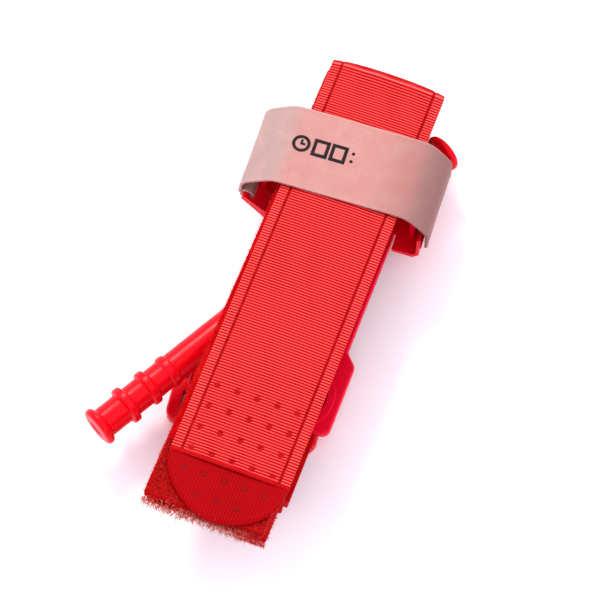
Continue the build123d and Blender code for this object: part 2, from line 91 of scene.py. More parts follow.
def axes(x, y, angle, along, across):
    """A measuring frame: origin, the path's own level axis, up, and the width's axis."""
    a = math.radians(angle)
    turn = {
        "x": np.array([math.cos(a), math.sin(a), 0.0]),
        "y": np.array([-math.sin(a), math.cos(a), 0.0]),
    }
    sign = -1 if across.startswith("-") else 1
    return np.array([x, y, 0.0]), turn[along], np.array([0, 0, 1.0]), sign * turn[across[-1]]


PACK_AXES = axes(PACK_X, 0, 0, "y", "x")
FIXED_AXES = axes(FIXED_X, 0, 0, "y", "x")
TAIL_AXES = axes(TAIL_X, TAIL_Y, TAIL_ANGLE, "y", "x")
CLIP_AXES = axes(0, CLIP_PIVOT_Y, CLIP_ANGLE, "x", "-y")
ROD_AXES = axes(ROD_X, 0, 90 - ROD_ANGLE, "y", "x")


def clip_shift(y):
    """The clip's frame moved along its own length to y."""
    o, u, v, w = CLIP_AXES
    return o - w * (y - CLIP_PIVOT_Y), u, v, w


def place(axis, u, v, w):
    """Points in a measuring frame as metres in the shared frame."""
    o, au, av, aw = axis
    u, v, w = np.broadcast_arrays(np.asarray(u, float), np.asarray(v, float), np.asarray(w, float))
    return (ORIGIN + o + u[..., None] * au + v[..., None] * av + w[..., None] * aw) * MM


# ---------------- paths
def trace(points, radii, step, arc_step=0.16, zones=None):
    """Samples a path with rounded corners: points, tangents, distance along it, and each sample's run.

    A straight run has the number of its first point, and the corner after it a half more."""
    p = [np.array(q, float) for q in points]
    spans, at = [], p[0]
    for i in range(1, len(p) - 1):
        a, b = p[i] - p[i - 1], p[i + 1] - p[i]
        a, b = a / np.linalg.norm(a), b / np.linalg.norm(b)
        angle = math.acos(float(np.clip(a @ b, -1, 1)))
        cut = radii[i - 1] * math.tan(angle / 2)
        enter = p[i] - a * cut
        spans.append(("line", at, enter, i - 1))
        side = 1 if a[0] * b[1] - a[1] * b[0] > 0 else -1
        centre = enter + side * radii[i - 1] * np.array([-a[1], a[0]])
        spans.append(("arc", centre, enter, side * angle, radii[i - 1]))
        at = p[i] + b * cut
    spans.append(("line", at, p[-1], len(p) - 2))
    samples, total, run = [], 0.0, 0
    for kind, *span in spans:
        if kind == "line":
            start, end, run = span
            length = float(np.linalg.norm(end - start))
            if length < 1e-6:
                continue
            n = max(1, round(length / (zones or {}).get(run, step)))
            for t in np.linspace(0, 1, n + 1)[:-1]:
                samples.append((start + (end - start) * t, (end - start) / length, total + t * length, run))
        else:
            centre, enter, angle, radius = span
            length = abs(angle) * radius
            n = max(4, round(length / arc_step))
            r0 = enter - centre
            for t in np.linspace(0, 1, n + 1)[:-1]:
                c, s = math.cos(angle * t), math.sin(angle * t)
                r = np.array([r0[0] * c - r0[1] * s, r0[0] * s + r0[1] * c])
                q = np.array([-r[1], r[0]]) * (1 if angle > 0 else -1)
                samples.append((centre + r, q / max(np.linalg.norm(q), 1e-9), total + t * length, run + 0.5))
        total += length
    d = spans[-1][2] - spans[-1][1]
    samples.append((spans[-1][2], d / np.linalg.norm(d), total, spans[-1][3]))
    return tuple(np.array(column) for column in zip(*samples))


def waves(a, b, scale, seed):
    """Slow unevenness from -1 to 1, the same each run."""
    rng = np.random.default_rng(seed)
    out = 0
    for _ in range(6):
        k = rng.normal(0, 1, 2) / scale
        out = out + np.sin(a * k[0] + b * k[1] + rng.uniform(0, 6.28))
    return out / 4.0


def new_object(name, verts, faces, material, smooth=True, attributes=None):
    """A mesh object from metre points and faces, with point attributes."""
    mesh = bpy.data.meshes.new(name)
    mesh.from_pydata([tuple(v) for v in verts], [], faces)
    for key, values in (attributes or {}).items():
        values = np.asarray(values, np.float32)
        kind = "FLOAT" if values.ndim == 1 else "FLOAT_VECTOR"
        layer = mesh.attributes.new(key, kind, "POINT")
        layer.data.foreach_set("value" if values.ndim == 1 else "vector", values.ravel())
    mesh.polygons.foreach_set("use_smooth", [smooth] * len(mesh.polygons))
    mesh.update()
    o = bpy.data.objects.new(name, mesh)
    bpy.context.scene.collection.objects.link(o)
    mesh.materials.append(material)
    return o


def outward(verts, faces):
    """The faces, turned to face out of a closed mesh."""
    v = np.asarray(verts)
    total = 0.0
    for f in faces:
        a = v[f[0]]
        for i in range(1, len(f) - 1):
            total += float(a @ np.cross(v[f[i]], v[f[i + 1]]))
    return faces if total > 0 else [f[::-1] for f in faces]


def columns(width, spacing, marks=()):
    """Places across a band, closer at its edges and round each mark (place, reach, count)."""
    half = width / 2
    xs = list(np.arange(-half + 0.9, half - 0.5, spacing))
    for mark, reach, count in marks:
        xs = [x for x in xs if abs(x - mark) > reach]
        xs += list(np.linspace(mark - reach, mark + reach, count))
    xs += [s * (half - d) for s in (-1, 1) for d in (0.0, 0.1, 0.3, 0.6)]
    xs = sorted(xs)
    kept = [xs[0]]
    for x in xs[1:]:
        if x - kept[-1] > 0.06:
            kept.append(x)
    kept[-1] = half
    return np.array(kept)


def shell(top, low):
    """The points and faces of a closed slab between two grids that have the same number of rows."""
    rows, m, k = top.shape[0], top.shape[1], low.shape[1]
    base = rows * m
    verts = np.concatenate([top.reshape(-1, 3), low.reshape(-1, 3)])
    faces = []
    for i in range(rows - 1):
        r, q = i * m, base + i * k
        faces += [(r + j, r + j + 1, r + m + j + 1, r + m + j) for j in range(m - 1)]
        faces += [(q + k + j, q + k + j + 1, q + j + 1, q + j) for j in range(k - 1)]
        faces.append((q, r, r + m, q + k))
        faces.append((r + m - 1, q + k - 1, q + 2 * k - 1, r + 2 * m - 1))
    last = base + (rows - 1) * k
    faces.append(tuple(range(base + k - 1, base - 1, -1)) + tuple(range(m)))
    faces.append(tuple(range(last, last + k)) + tuple(range(base - 1, base - m - 1, -1)))
    return verts, outward(verts, faces)


def ribbon(name, axis, traced, plies, cols, material, relief, drift=None, warp=None, plain_cols=9, mark=None):
    """A closed band: a fine face with relief and a plain face, each at its own distance from the path."""
    pts, tans, dist, runs = traced
    fine, plain = plies
    left = np.stack([-tans[:, 1], tans[:, 0]], 1)
    n, m, sign = len(pts), len(cols), 1 if fine > plain else -1
    pick = np.unique(np.round(np.linspace(0, m - 1, min(plain_cols, m))).astype(int))
    slide = drift(dist, runs, pts) if drift else np.zeros(n)
    where = (dist[:, None], cols[None, :], runs[:, None], pts)
    h, shade = relief(*where)
    body = warp(pts, runs, cols) if warp else np.zeros((n, m))

    def grid(offset, xs, raise_):
        off = offset + sign * raise_
        u = pts[:, 0][:, None] + left[:, 0][:, None] * off
        v = pts[:, 1][:, None] + left[:, 1][:, None] * off
        return place(axis, u, v, xs[None, :] + slide[:, None])

    def spread(values, rest):
        """Values on the fine face, and one value on the plain face."""
        return np.concatenate([np.broadcast_to(values, (n, m)).ravel(), np.full(n * len(pick), rest)])

    verts, faces = shell(grid(fine, cols, h + body), grid(plain, cols[pick], body[:, pick]))
    weave = np.zeros((len(verts), 3))
    weave[:, 0] = np.concatenate([np.repeat(dist, m), np.repeat(dist, len(pick))])
    weave[:, 1] = np.concatenate([np.tile(cols, n), np.tile(cols[pick], n)])
    attributes = {"weave": weave, "shade": spread(shade, 0.5)}
    if mark:
        attributes["mark"] = spread(mark(*where), 0.0)
    return new_object(name, verts, faces, material, attributes=attributes)


# ---------------- materials
def srgb(r, g, b):
    """A screen colour, 0 to 255, as the linear colour of a material."""
    f = [c / 255 for c in (r, g, b)]
    return [c / 12.92 if c <= 0.04045 else ((c + 0.055) / 1.055) ** 2.4 for c in f] + [1.0]


class Nodes:
    """Short hand for a material's node tree."""

    def __init__(self, name, roughness, specular=0.5, sheen=0.0, tint=(1, 1, 1, 1), subsurface=0.0):
        self.material = bpy.data.materials.new(name)
        self.material.use_nodes = True
        self.tree = self.material.node_tree
        self.surface = self.tree.nodes["Principled BSDF"]
        for key, value in {
            "Roughness": roughness,
            "Specular IOR Level": specular,
            "Sheen Weight": sheen,
            "Sheen Roughness": 0.4,
            "Sheen Tint": tint,
            "Subsurface Weight": subsurface,
            "Subsurface Radius": (1.0, 0.25, 0.2),
            "Subsurface Scale": 0.002,
        }.items():
            self.surface.inputs[key].default_value = value

    def node(self, kind, inputs=None, **values):
        """A new node: plain inputs are set, and sockets are linked."""
        n = self.tree.nodes.new(kind)
        for key, value in values.items():
            setattr(n, key, value)
        for key, value in (inputs or {}).items():
            if isinstance(value, bpy.types.NodeSocket):
                self.tree.links.new(value, n.inputs[key])
            else:
                n.inputs[key].default_value = value
        return n

    def attributes(self, *names):
        """A point attribute's socket for each name: weave is a vector, and the rest are numbers."""
        found = []
        for name in names:
            n = self.node("ShaderNodeAttribute", attribute_name=name, attribute_type="GEOMETRY")
            found.append(n.outputs["Vector" if name == "weave" else "Fac"])
        return found

    def where(self):
        return self.node("ShaderNodeTexCoord").outputs["Object"]

    def math(self, op, a, b=0.5, clamp=False):
        return self.node("ShaderNodeMath", {0: a, 1: b}, operation=op, use_clamp=clamp).outputs[0]

    def above(self, value, start, gain, clamp=False):
        """How far a value is above a start, times a gain."""
        return self.math("MULTIPLY", self.math("SUBTRACT", value, start, True), gain, clamp)

    def mix(self, factor, a, b, blend="MIX"):
        inputs = {0: factor, 6: a, 7: b}
        return self.node("ShaderNodeMix", inputs, data_type="RGBA", blend_type=blend).outputs[2]

    def noise(self, vector, scale, detail=3.0, rough=0.5):
        inputs = {"Scale": scale, "Detail": detail, "Roughness": rough, "Vector": vector}
        return self.node("ShaderNodeTexNoise", inputs).outputs["Fac"]

    def wave(self, vector, scale, direction, distortion):
        inputs = {"Scale": scale, "Distortion": distortion, "Detail Scale": 2.0, "Vector": vector}
        return self.node("ShaderNodeTexWave", inputs, bands_direction=direction).outputs["Fac"]

    def ramp(self, factor, stops):
        n = self.node("ShaderNodeValToRGB", {0: factor})
        elements = n.color_ramp.elements
        for i, (at, colour) in enumerate(stops):
            element = elements[i] if i < 2 else elements.new(at)
            element.position, element.color = at, colour
        return n.outputs[0]

    def done(self, colour, height=None, strength=0.0, distance=0.0, roughness=None):
        """Links the colour, any bump and any roughness, and gives the material."""
        self.tree.links.new(colour, self.surface.inputs["Base Color"])
        if height is not None:
            bump = self.node("ShaderNodeBump", {"Strength": strength, "Distance": distance, "Height": height})
            self.tree.links.new(bump.outputs[0], self.surface.inputs["Normal"])
        if roughness is not None:
            self.tree.links.new(roughness, self.surface.inputs["Roughness"])
        return self.material


def grey(value):
    """A linear grey."""
    return (value, value, value, 1)


def grosgrain(name, groove, flank, crown, dot):
    """Ribbed webbing with fine yarns crossing its ribs: painted shade between the ribs and a painted
    highlight on their crowns.
    """
    k = Nodes(name, 0.6, 0.12, 0.04, srgb(255, 150, 140))
    weave, shade, mark = k.attributes("weave", "shade", "mark")
    # painted shade in the grooves, mid red on the flanks and a painted highlight on the crowns, picked by the
    # shade value
    base = k.ramp(shade, [(0.0, groove), (0.42, flank), (1.0, crown)])
    base = k.mix(k.above(k.noise(weave, 0.11, 4), 0.4, 0.35), base, srgb(232, 48, 40))
    yarn = k.noise(weave, 3.5, 2, 0.7)
    base = k.mix(0.35, base, k.ramp(yarn, [(0.3, grey(0.62)), (0.7, grey(1.1))]), "MULTIPLY")
    base = k.mix(mark, base, dot)
    height = k.math("ADD", k.wave(weave, 0.85, "Y", 0.6), yarn)
    return k.done(base, height, 0.35, 0.00012, k.math("ADD", k.math("MULTIPLY", yarn, 0.25), 0.48))


def pile(name, dark, light, tip):
    """Loop pile: matted curls with lighter tips."""
    k = Nodes(name, 0.9, 0.08, 0.08, srgb(255, 120, 110))
    (weave,) = k.attributes("weave")
    curls = k.noise(weave, 2.2, 5, 0.75)
    base = k.mix(k.math("SUBTRACT", curls, 0.15, True), dark, light)
    base = k.mix(k.above(k.noise(weave, 0.25), 0.45, 1.2), base, tip)
    return k.done(base, curls, 0.9, 0.0003)


def fringe_yarn(name, root, middle, tip):
    """Loose yarn: one colour where it leaves the band and another at its end."""
    k = Nodes(name, 0.7, 0.15, 0.05)
    weave, shade = k.attributes("weave", "shade")
    patch = k.noise(weave, 0.9)
    base = k.ramp(shade, [(0.0, root), (0.55, middle), (1.0, tip)])
    base = k.mix(k.above(patch, 0.5, 2.2, True), base, root)
    return k.done(base, patch, 0.3, 0.0001)


def smooth_webbing(name, dark, light):
    """Flat webbing with fine lines along it and across it."""
    k = Nodes(name, 0.5, 0.4, 0.2)
    (weave,) = k.attributes("weave")
    lines = k.wave(weave, 1.1, "Y", 0.8)
    rows = k.wave(weave, 0.7, "X", 1.0)
    base = k.mix(k.math("MULTIPLY", lines, rows), dark, light)
    return k.done(base, k.math("ADD", lines, rows), 0.5, 0.00015)


def moulded(name, colour, pale, roughness, grain):
    """Injection-moulded plastic: slightly clouded, with a fine skin, scuffed patches and edges paler as a
    painted highlight.
    """
    k = Nodes(name, roughness, 0.2, subsurface=0.05)
    where = k.where()
    # painted highlight: sharp edges are mixed towards the pale colour
    wear_and_edge_highlight = k.above(k.node("ShaderNodeNewGeometry").outputs["Pointiness"], 0.54, 4.0, True)
    base = k.mix(k.math("MULTIPLY", k.noise(where, 60, 4), 0.3), colour, pale)
    base = k.mix(k.math("MULTIPLY", wear_and_edge_highlight, 0.25), base, pale)
    rough = k.math("ADD", k.math("MULTIPLY", k.noise(where, 240, 6, 0.7), 0.22), roughness - 0.1)
    return k.done(base, k.noise(where, grain, 3, 0.6), 0.25, 0.00008, rough)


def thread(name, dark, light):
    """Twisted yarn."""
    k = Nodes(name, 0.55, 0.15, 0.03)
    twist = k.wave(k.where(), 900, "DIAGONAL", 0.5)
    return k.done(k.mix(twist, dark, light), twist, 0.5, 0.0001)


def tab_weave(name, dark, light):
    """The tab's close weave, with painted shade between its cords and a painted highlight on them."""
    k = Nodes(name, 0.5, 0.06, 0.02, srgb(255, 150, 150))
    weave, shade = k.attributes("weave", "shade")
    fine = k.noise(weave, 2.6, 3, 0.7)
    base = k.mix(shade, dark, light)
    base = k.mix(0.5, base, k.ramp(fine, [(0.3, grey(0.7)), (0.75, grey(1.15))]), "MULTIPLY")
    return k.done(base, fine, 0.4, 0.00012)


def satin(name, bare, band_light_through, edge, far):
    """Thin white woven strap: a diagonal weave, rosy with the red band's light painted where it lies on the
    band, and darker towards its far end as painted shade.
    """
    k = Nodes(name, 0.55, 0.2, 0.06, srgb(255, 225, 220))
    weave, shade, mark = k.attributes("weave", "shade", "mark")
    turned = k.node("ShaderNodeMapping", {"Rotation": (0, 0, math.radians(38)), "Vector": weave}).outputs[0]
    twill = k.wave(turned, 0.62, "X", 1.2)
    cross = k.wave(weave, 1.3, "X", 0.6)
    # painted light: the red band's glow through the thin strap, where the strap lies on the band
    base = k.mix(mark, bare, band_light_through)
    base = k.mix(k.above(k.noise(weave, 0.16, 4, 0.6), 0.4, 0.9), base, srgb(206, 172, 164))
    base = k.mix(k.math("MULTIPLY", twill, 0.55), base, k.mix(0.5, base, srgb(150, 104, 100)))
    base = k.mix(shade, base, edge)
    # painted shade, growing towards the strap's far end
    along = k.math("MULTIPLY", k.node("ShaderNodeSeparateXYZ", {0: weave}).outputs["X"], 0.01)
    base = k.mix(k.ramp(along, [(0.48, grey(0)), (0.72, grey(0.75))]), base, far)
    return k.done(base, k.math("ADD", twill, k.math("MULTIPLY", cross, 0.5)), 0.45, 0.00012)


def ink(name):
    """Printed black, rubbed through in specks."""
    k = Nodes(name, 0.6, 0.3)
    wear_and_edge_highlight = k.noise(k.where(), 1400, 3, 0.7)
    return k.done(k.ramp(wear_and_edge_highlight, [(0.5, srgb(6, 3, 4)), (0.9, srgb(58, 34, 34))]), wear_and_edge_highlight, 0.4, 0.00005)


# GROSGRAIN: its groove colour is painted shade and its crown colour a painted highlight
GROSGRAIN = grosgrain("grosgrain", srgb(142, 0, 6), srgb(198, 0, 14), srgb(255, 120, 113), srgb(146, 0, 8))
PILE = pile("loop_pile", srgb(156, 0, 6), srgb(222, 8, 14), srgb(232, 52, 44))
PATCH = pile("strap_loop_patch", srgb(200, 170, 164), srgb(240, 222, 216), srgb(250, 240, 236))
HOOKS = pile("hook_patch", srgb(140, 8, 18), srgb(206, 30, 40), srgb(226, 80, 80))
FRINGE = fringe_yarn("hook_fringe", srgb(190, 6, 12), srgb(212, 108, 90), srgb(228, 164, 146))
# CURLS: the pale tip colour is a painted highlight on the curls, which grow darker towards their roots
CURLS = fringe_yarn("pile_curls", srgb(150, 0, 6), srgb(216, 14, 20), srgb(236, 84, 74))
PULL = smooth_webbing("pull_webbing", srgb(176, 4, 16), srgb(226, 26, 34))
# TAB_WOVEN: its dark colour is painted shade between the cords and its light one a painted highlight
TAB_WOVEN = tab_weave("tab_webbing", srgb(84, 0, 6), srgb(172, 2, 14))
# the pale colours serve both the clouding and the painted highlight on sharp edges
PLATE = moulded("plate_plastic", srgb(226, 0, 50), srgb(236, 12, 60), 0.32, 900)
CLIP = moulded("clip_plastic", srgb(228, 0, 40), srgb(240, 12, 52), 0.3, 900)
ROD = moulded("rod_plastic", srgb(218, 0, 24), srgb(236, 6, 36), 0.3, 1100)
BUCKLE = moulded("buckle_plastic", srgb(214, 0, 32), srgb(234, 12, 46), 0.32, 900)
THREAD = thread("red_thread", srgb(118, 0, 6), srgb(166, 2, 12))
WHITE_THREAD = thread("white_thread", srgb(206, 176, 170), srgb(244, 228, 222))
WELD = thread("weld_melt", srgb(158, 0, 6), srgb(178, 0, 10))
TAB_WELD = thread("tab_weld_melt", srgb(122, 0, 8), srgb(152, 0, 12))
# SATIN: its second colour is the band's light painted through the strap, and its last is painted shade at the
# far end
SATIN = satin("strap_satin", srgb(172, 145, 138), srgb(194, 136, 127), srgb(200, 166, 158), srgb(136, 92, 84))
INK = ink("print_ink")


# ---------------- the folded band
def piece(o, body, *nodes, slot=None):
    """Puts an object on its body, in place of the CAD nodes that it stands for."""
    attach(o, body)
    if nodes:
        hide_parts(*nodes)
    return o


def rib_profile(s, pitch=RIB):
    """A round rib: 0 in the groove and 1 on its crown."""
    f = (s / pitch) % 1.0
    return np.sqrt(np.clip(1 - np.abs(2 * f - 1) ** 2.4, 0, 1))


def rib_shade(s):
    """Light on a rib: a narrow bright line on the crown, mid red on its flanks, dark in the groove."""
    f = np.abs((s / RIB) % 1.0 - 0.5)
    return np.clip(0.4 * np.clip((0.5 - f) / 0.24, 0, 1) + 0.62 * np.exp(-((f / 0.115) ** 2)), 0, 1)


def edge_fall(x, half, reach, depth):
    """The rounding off of a ribbon's edges."""
    d = np.clip((half - np.abs(x)) / reach, 0, 1)
    return -depth * (1 - d) ** 2


def channel(x):
    """1 along both stitch lines, falling to 0 beside them."""
    return np.exp(-(((np.abs(x) - STITCH_X) / 0.42) ** 2))


DOT_PITCH = 6.5
DOT_X = [c * DOT_PITCH for c in (-2, -1, 0, 1, 2)]
DOT_Y = [END_Y + 2.4 + r * 7.1 for r in range(4)]


def dot_field(x, y, radius):
    """1 inside each weld dot, falling to 0 at its rim."""
    out = np.zeros(np.broadcast(x, y).shape)
    for dy in DOT_Y:
        for dx in DOT_X:
            r = np.sqrt((x - dx) ** 2 + (y - dy) ** 2) / radius
            out = np.maximum(out, np.clip(1.35 - r, 0, 1))
    return out


def top_run_y(runs, pts):
    """Each sample's place along the band on the top run, and far away on the rest."""
    return np.where(runs >= TOP_RUN, pts[:, :1], 999.0)


def band_relief(s, x, runs, pts):
    """The pack's grosgrain side: ribs, sewn channels, falling margins and weld dents."""
    along = s + 0.07 * waves(s, x * 3, 9, 4)
    past_stitches = np.abs(x) > STITCH_X
    swell = 0.35 * (1 - np.clip(np.abs(x) / STITCH_X, 0, 1) ** 2.2)
    fall = np.where(past_stitches, -0.28 * (np.abs(x) - STITCH_X) / (HALF_BAND - STITCH_X), 0)
    pucker = 0.75 + 0.25 * np.cos(2 * math.pi * s / STITCH_PITCH)
    slow = 0.12 * waves(s, x, 14, 3) + 0.05 * waves(s, x, 4, 8)
    lift = np.where(runs >= TOP_RUN, 1.0, 0.0)
    body = swell * (0.3 + 0.7 * lift) + slow * (0.35 + 0.65 * lift)
    h = 0.2 * rib_profile(along) + body + fall - 0.26 * channel(x) * pucker
    h = h + edge_fall(x, HALF_BAND, 0.35, 0.16)
    y = top_run_y(runs, pts)
    dents = dot_field(x, y, 1.05)
    h = h * (1 - 0.7 * dents) - 0.22 * dents
    h = h - 0.22 * (1 - np.clip((y - END_Y) / 0.8, 0, 1)) ** 2
    # painted shade darkens the stitch channels, and a painted highlight brightens the ribs past the stitches
    in_channel = np.abs(np.abs(x) - STITCH_X) < 0.4
    shade = rib_shade(along) * np.where(in_channel, 0.15, 1) * np.where(past_stitches, 1.12, 1)
    # painted shade over the top run's cut end
    shade = np.where((y - END_Y < 0.9) & (runs >= TOP_RUN), 0.3, shade)
    return h, np.clip(shade, 0, 1)


def dot_mark(s, x, runs, pts):
    """The darker colour on the weld dots."""
    return np.clip(dot_field(x, top_run_y(runs, pts), 0.98) * 1.6 - 0.25, 0, 0.85)


def pack_path(end_y):
    """Up the end wall and back and forth over the windlass, to end_y on the top run."""
    path = [(WALL_Y, 1.15), (WALL_Y, 20.0)]
    for run in range(5):
        a, b = (TOP_Y, LOW_Y) if run % 2 == 0 else (LOW_Y, TOP_Y)
        z = PACK_Z + PITCH * run
        path += [(a, z), (b, z)]
    path[-1] = (end_y, TOP_RUN_Z)
    return path, [4.0] + [FOLD_R] * (len(path) - 3)


# How far each run lies off the top one, at its upper and at its lower end
LEAN = {2: (-1.8, -1.6), 4: (-1.2, -1.8), 6: (-0.8, -2.1), 8: (-0.4, -2.6), TOP_RUN: (0.0, 0.0)}
WALL_LEAN = -3.7


def pack_drift(dist, runs, pts):
    """The lower runs lie a little off the top one, more so towards the lower folds."""
    y = np.clip((TOP_Y - pts[:, 0]) / (TOP_Y - LOW_Y), 0, 1)
    anchors, offsets = [0.0], [WALL_LEAN]
    for run, (at_top, at_low) in LEAN.items():
        on = runs == run
        down = pts[on][0, 0] > pts[on][-1, 0]
        anchors += [dist[on][0], dist[on][-1]]
        offsets += [at_top, at_low] if down else [at_low, at_top]
    return np.interp(dist, anchors, offsets) + 0.12 * waves(dist, dist * 0, 25, 9) * y


def top_puff(pts, runs, cols):
    """The last upper fold stands out a little, most in its middle."""
    span = 1 - np.clip(np.abs(cols) / HALF_BAND, 0, 1) ** 2.5
    near = np.where(runs >= 8.5, np.clip((pts[:, 0] - (TOP_Y - 9)) / 9, 0, 1), 0) ** 2
    return (0.5 + 1.0 * span[None, :]) * near[:, None]


FINE = RIB / 6
ZONES = {0: FINE, 1: FINE, 2: RIB / 2, 4: RIB / 2, 6: RIB / 2, 8: RIB / 2, TOP_RUN: FINE}
path, radii = pack_path(END_Y)
pack_line = trace(path, radii, RIB / 2, zones=ZONES)
dot_marks = [(x, 1.3, 9) for x in DOT_X] + [(side * STITCH_X, 0.6, 7) for side in (-1, 1)]
band_cols = columns(BAND_WIDTH, 1.0, dot_marks)
pack_webbing = ribbon("pack_band_webbing", PACK_AXES, pack_line, WEBBING_PLY, band_cols, GROSGRAIN,
                      band_relief, pack_drift, top_puff, mark=dot_mark)
piece(pack_webbing, "pack", "pack_webbing", slot="webbing")


def pile_relief(amount, seed):
    """Matted loops."""

    def relief(s, x, runs, pts):
        h = amount * (waves(s, x, 0.22, seed) * 0.6 + waves(s, x, 0.5, seed + 1) * 0.6)
        shade = 0.5 + 0.5 * np.clip(waves(s, x, 0.4, seed + 2), -1, 1)
        return h + edge_fall(x, HALF_BAND, 0.5, 0.25), shade

    return relief


PILE_FACES = (PILE_PLY[0] - 0.1, PILE_PLY[1])
pile_line = trace(path, radii, 0.8, arc_step=0.12, zones={TOP_RUN: 1.2, 0: 0.5, 1: 0.5})
pile_cols = columns(BAND_WIDTH, 1.1, [(side * 17.8, 1.0, 6) for side in (-1, 1)])
pack_pile = ribbon("pack_band_pile", PACK_AXES, pile_line, PILE_FACES, pile_cols, PILE, pile_relief(0.11, 21),
                   pack_drift)
piece(pack_pile, "pack", "pack_hook_loop", slot="hook_loop")


def pull_relief(s, x, runs, pts):
    """The inner strap's low ribs."""
    return 0.04 * rib_profile(s, 1.4) + edge_fall(x, PULL_WIDTH / 2, 0.4, 0.1), 0.5


PULL_FACES = PULL_PLY[::-1]
path, radii = pack_path(-41.5)
pull_line = trace(path, radii, 1.4, arc_step=0.2)
pull_cols = columns(PULL_WIDTH, 3.0)
pack_pull = ribbon("pack_band_pull_strap", PACK_AXES, pull_line, PULL_FACES, pull_cols, PULL, pull_relief,
                   pack_drift)
piece(pack_pull, "pack", "pack_pull_strap", slot="pull_strap")


# ---------------- stitches
def tube_faces(start, rings, sides):
    """The faces of a closed tube whose rings of points follow each other from a start."""
    faces = []
    for i in range(rings - 1):
        for j in range(sides):
            a, b = start + i * sides, (j + 1) % sides
            faces.append((a + j, a + b, a + sides + b, a + sides + j))
    last = start + (rings - 1) * sides
    return faces + [tuple(range(start + sides - 1, start - 1, -1)), tuple(range(last, last + sides))]


def stitches(name, spots, length, radius, body, *nodes, material=THREAD):
    """Small flat capsules at (centre, along, up) spots, in metres."""
    verts, faces, rings, sides, flat = [], [], 7, 8, 0.6
    for centre, along, up in spots:
        along, up = along / np.linalg.norm(along), up / np.linalg.norm(up)
        across = np.cross(up, along)
        faces += tube_faces(len(verts), rings, sides)
        for i in range(rings):
            t = i / (rings - 1)
            bulge = math.sin(math.pi * (0.06 + 0.88 * t)) ** 0.45
            at = centre + along * (t - 0.5) * length * MM - up * (abs(2 * t - 1) ** 3) * radius * 1.3 * MM
            for j in range(sides):
                a = 2 * math.pi * j / sides
                verts.append(at + (across * math.cos(a) + up * flat * math.sin(a)) * radius * bulge * MM)
    piece(new_object(name, verts, outward(verts, faces), material), body, *nodes, slot="thread")


def spots_along(axis, traced, x, start, end, drift, raised=0.02, jitter=0.0):
    """Places for stitches on a band's grosgrain side, at x across it."""
    pts, tans, dist, runs = traced
    slide = drift(dist, runs, pts)
    offset = WEBBING_PLY[0] + raised
    out = []
    for s in np.arange(start, end, STITCH_PITCH):
        i = int(np.searchsorted(dist, s))
        if i >= len(dist):
            break
        left = np.array([-tans[i, 1], tans[i, 0]])
        dx = RNG.normal(0, jitter) if jitter else 0
        at = place(axis, pts[i, 0] + left[0] * offset, pts[i, 1] + left[1] * offset, x + slide[i] + dx)
        _, u, v, _ = axis
        out.append((at, u * tans[i, 0] + v * tans[i, 1], -(u * left[0] + v * left[1])))
    return out


RNG = np.random.default_rng(11)
pack_long = pack_line[2][-1]
wall_end = float(pack_line[2][pack_line[3] >= 1.5][0])
top_start = float(pack_line[2][pack_line[3] >= TOP_RUN - 0.5][0])
for side, word in ((-1, "left"), (1, "right")):
    x = side * STITCH_X
    spots = spots_along(PACK_AXES, pack_line, x, top_start + 3.2, pack_long - 1.5, pack_drift, jitter=0.08)
    spots += spots_along(PACK_AXES, pack_line, x, 1.5, wall_end - 1, pack_drift, jitter=0.05)
    stitches("pack_stitches_" + word, spots, 3.9, 0.2, "pack", "pack_thread_" + word)

# ---------------- tip tab
TAB_TOP = TOP_FACE - 0.52
TAB, TAB_LONG, TAB_PITCH = 0.8, 16.6, 0.95
TAB_DOTS = [(x, -71.9) for x in DOT_X] + [(c * 6.4, -78.6) for c in (-1, 0, 1)]


def tab_end(x):
    """The tab's rounded end, a little fuller on its right."""
    p = np.where(x < 0, 1.72, 2.05)
    return END_Y - 0.3 - TAB_LONG * (1 - np.clip(np.abs(x) / HALF_BAND, 0, 1) ** p) ** (1 / p)


def make_tab():
    """The rounded tab: cords along it, weld dents, and a droop where nothing holds it."""
    inner = HALF_BAND - 0.05
    xs = np.unique(np.concatenate([np.arange(-inner, inner + 0.01, TAB_PITCH / 5), [-HALF_BAND, HALF_BAND]]))
    start = END_Y + 1.2
    x, share = np.meshgrid(xs, np.linspace(0, 1, 34) ** 0.9, indexing="ij")
    y = start + (tab_end(x) - start) * share
    from_end = (1 - share) * (start - tab_end(x))
    rim = np.minimum(from_end / 0.9, 1.0)
    rib = rib_profile(x + 0.08 * waves(x, y, 8, 41), TAB_PITCH)
    droop = -0.5 * np.clip((END_Y - y) / 16, 0, 1) ** 2
    dents = np.zeros_like(x)
    for dx, dy in TAB_DOTS:
        dents = np.maximum(dents, np.clip(1.5 - np.hypot(x - dx, y - dy) / 0.9, 0, 1))
    h = 0.16 * rib - 0.25 * (1 - rim) ** 2 + edge_fall(x, HALF_BAND, 0.5, 0.2) + 0.1 * waves(x, y, 9, 43)
    h += droop - 0.2 * dents + 0.12 * np.exp(-(((from_end - 1.6) / 0.5) ** 2))
    verts, faces = shell(place(PACK_AXES, y, TAB_TOP + h, x), place(PACK_AXES, y, TAB_TOP - TAB + droop, x))
    faces[-2:] = [cap[::-1] for cap in faces[-2:]]  # a shell's end caps face inwards, and the tab's face out
    weave = np.stack([np.tile(y.ravel(), 2), np.tile(x.ravel(), 2), np.zeros(2 * x.size)], 1)
    # the shade value: painted shade between the cords, a painted highlight on them
    shade = np.concatenate([np.clip(0.1 + 0.9 * rib, 0, 1).ravel(), np.full(x.size, 0.4)])
    return new_object("tip_tab_woven", verts, faces, TAB_WOVEN, attributes={"weave": weave, "shade": shade})


piece(make_tab(), "pack", "tip_tab", slot="tab")


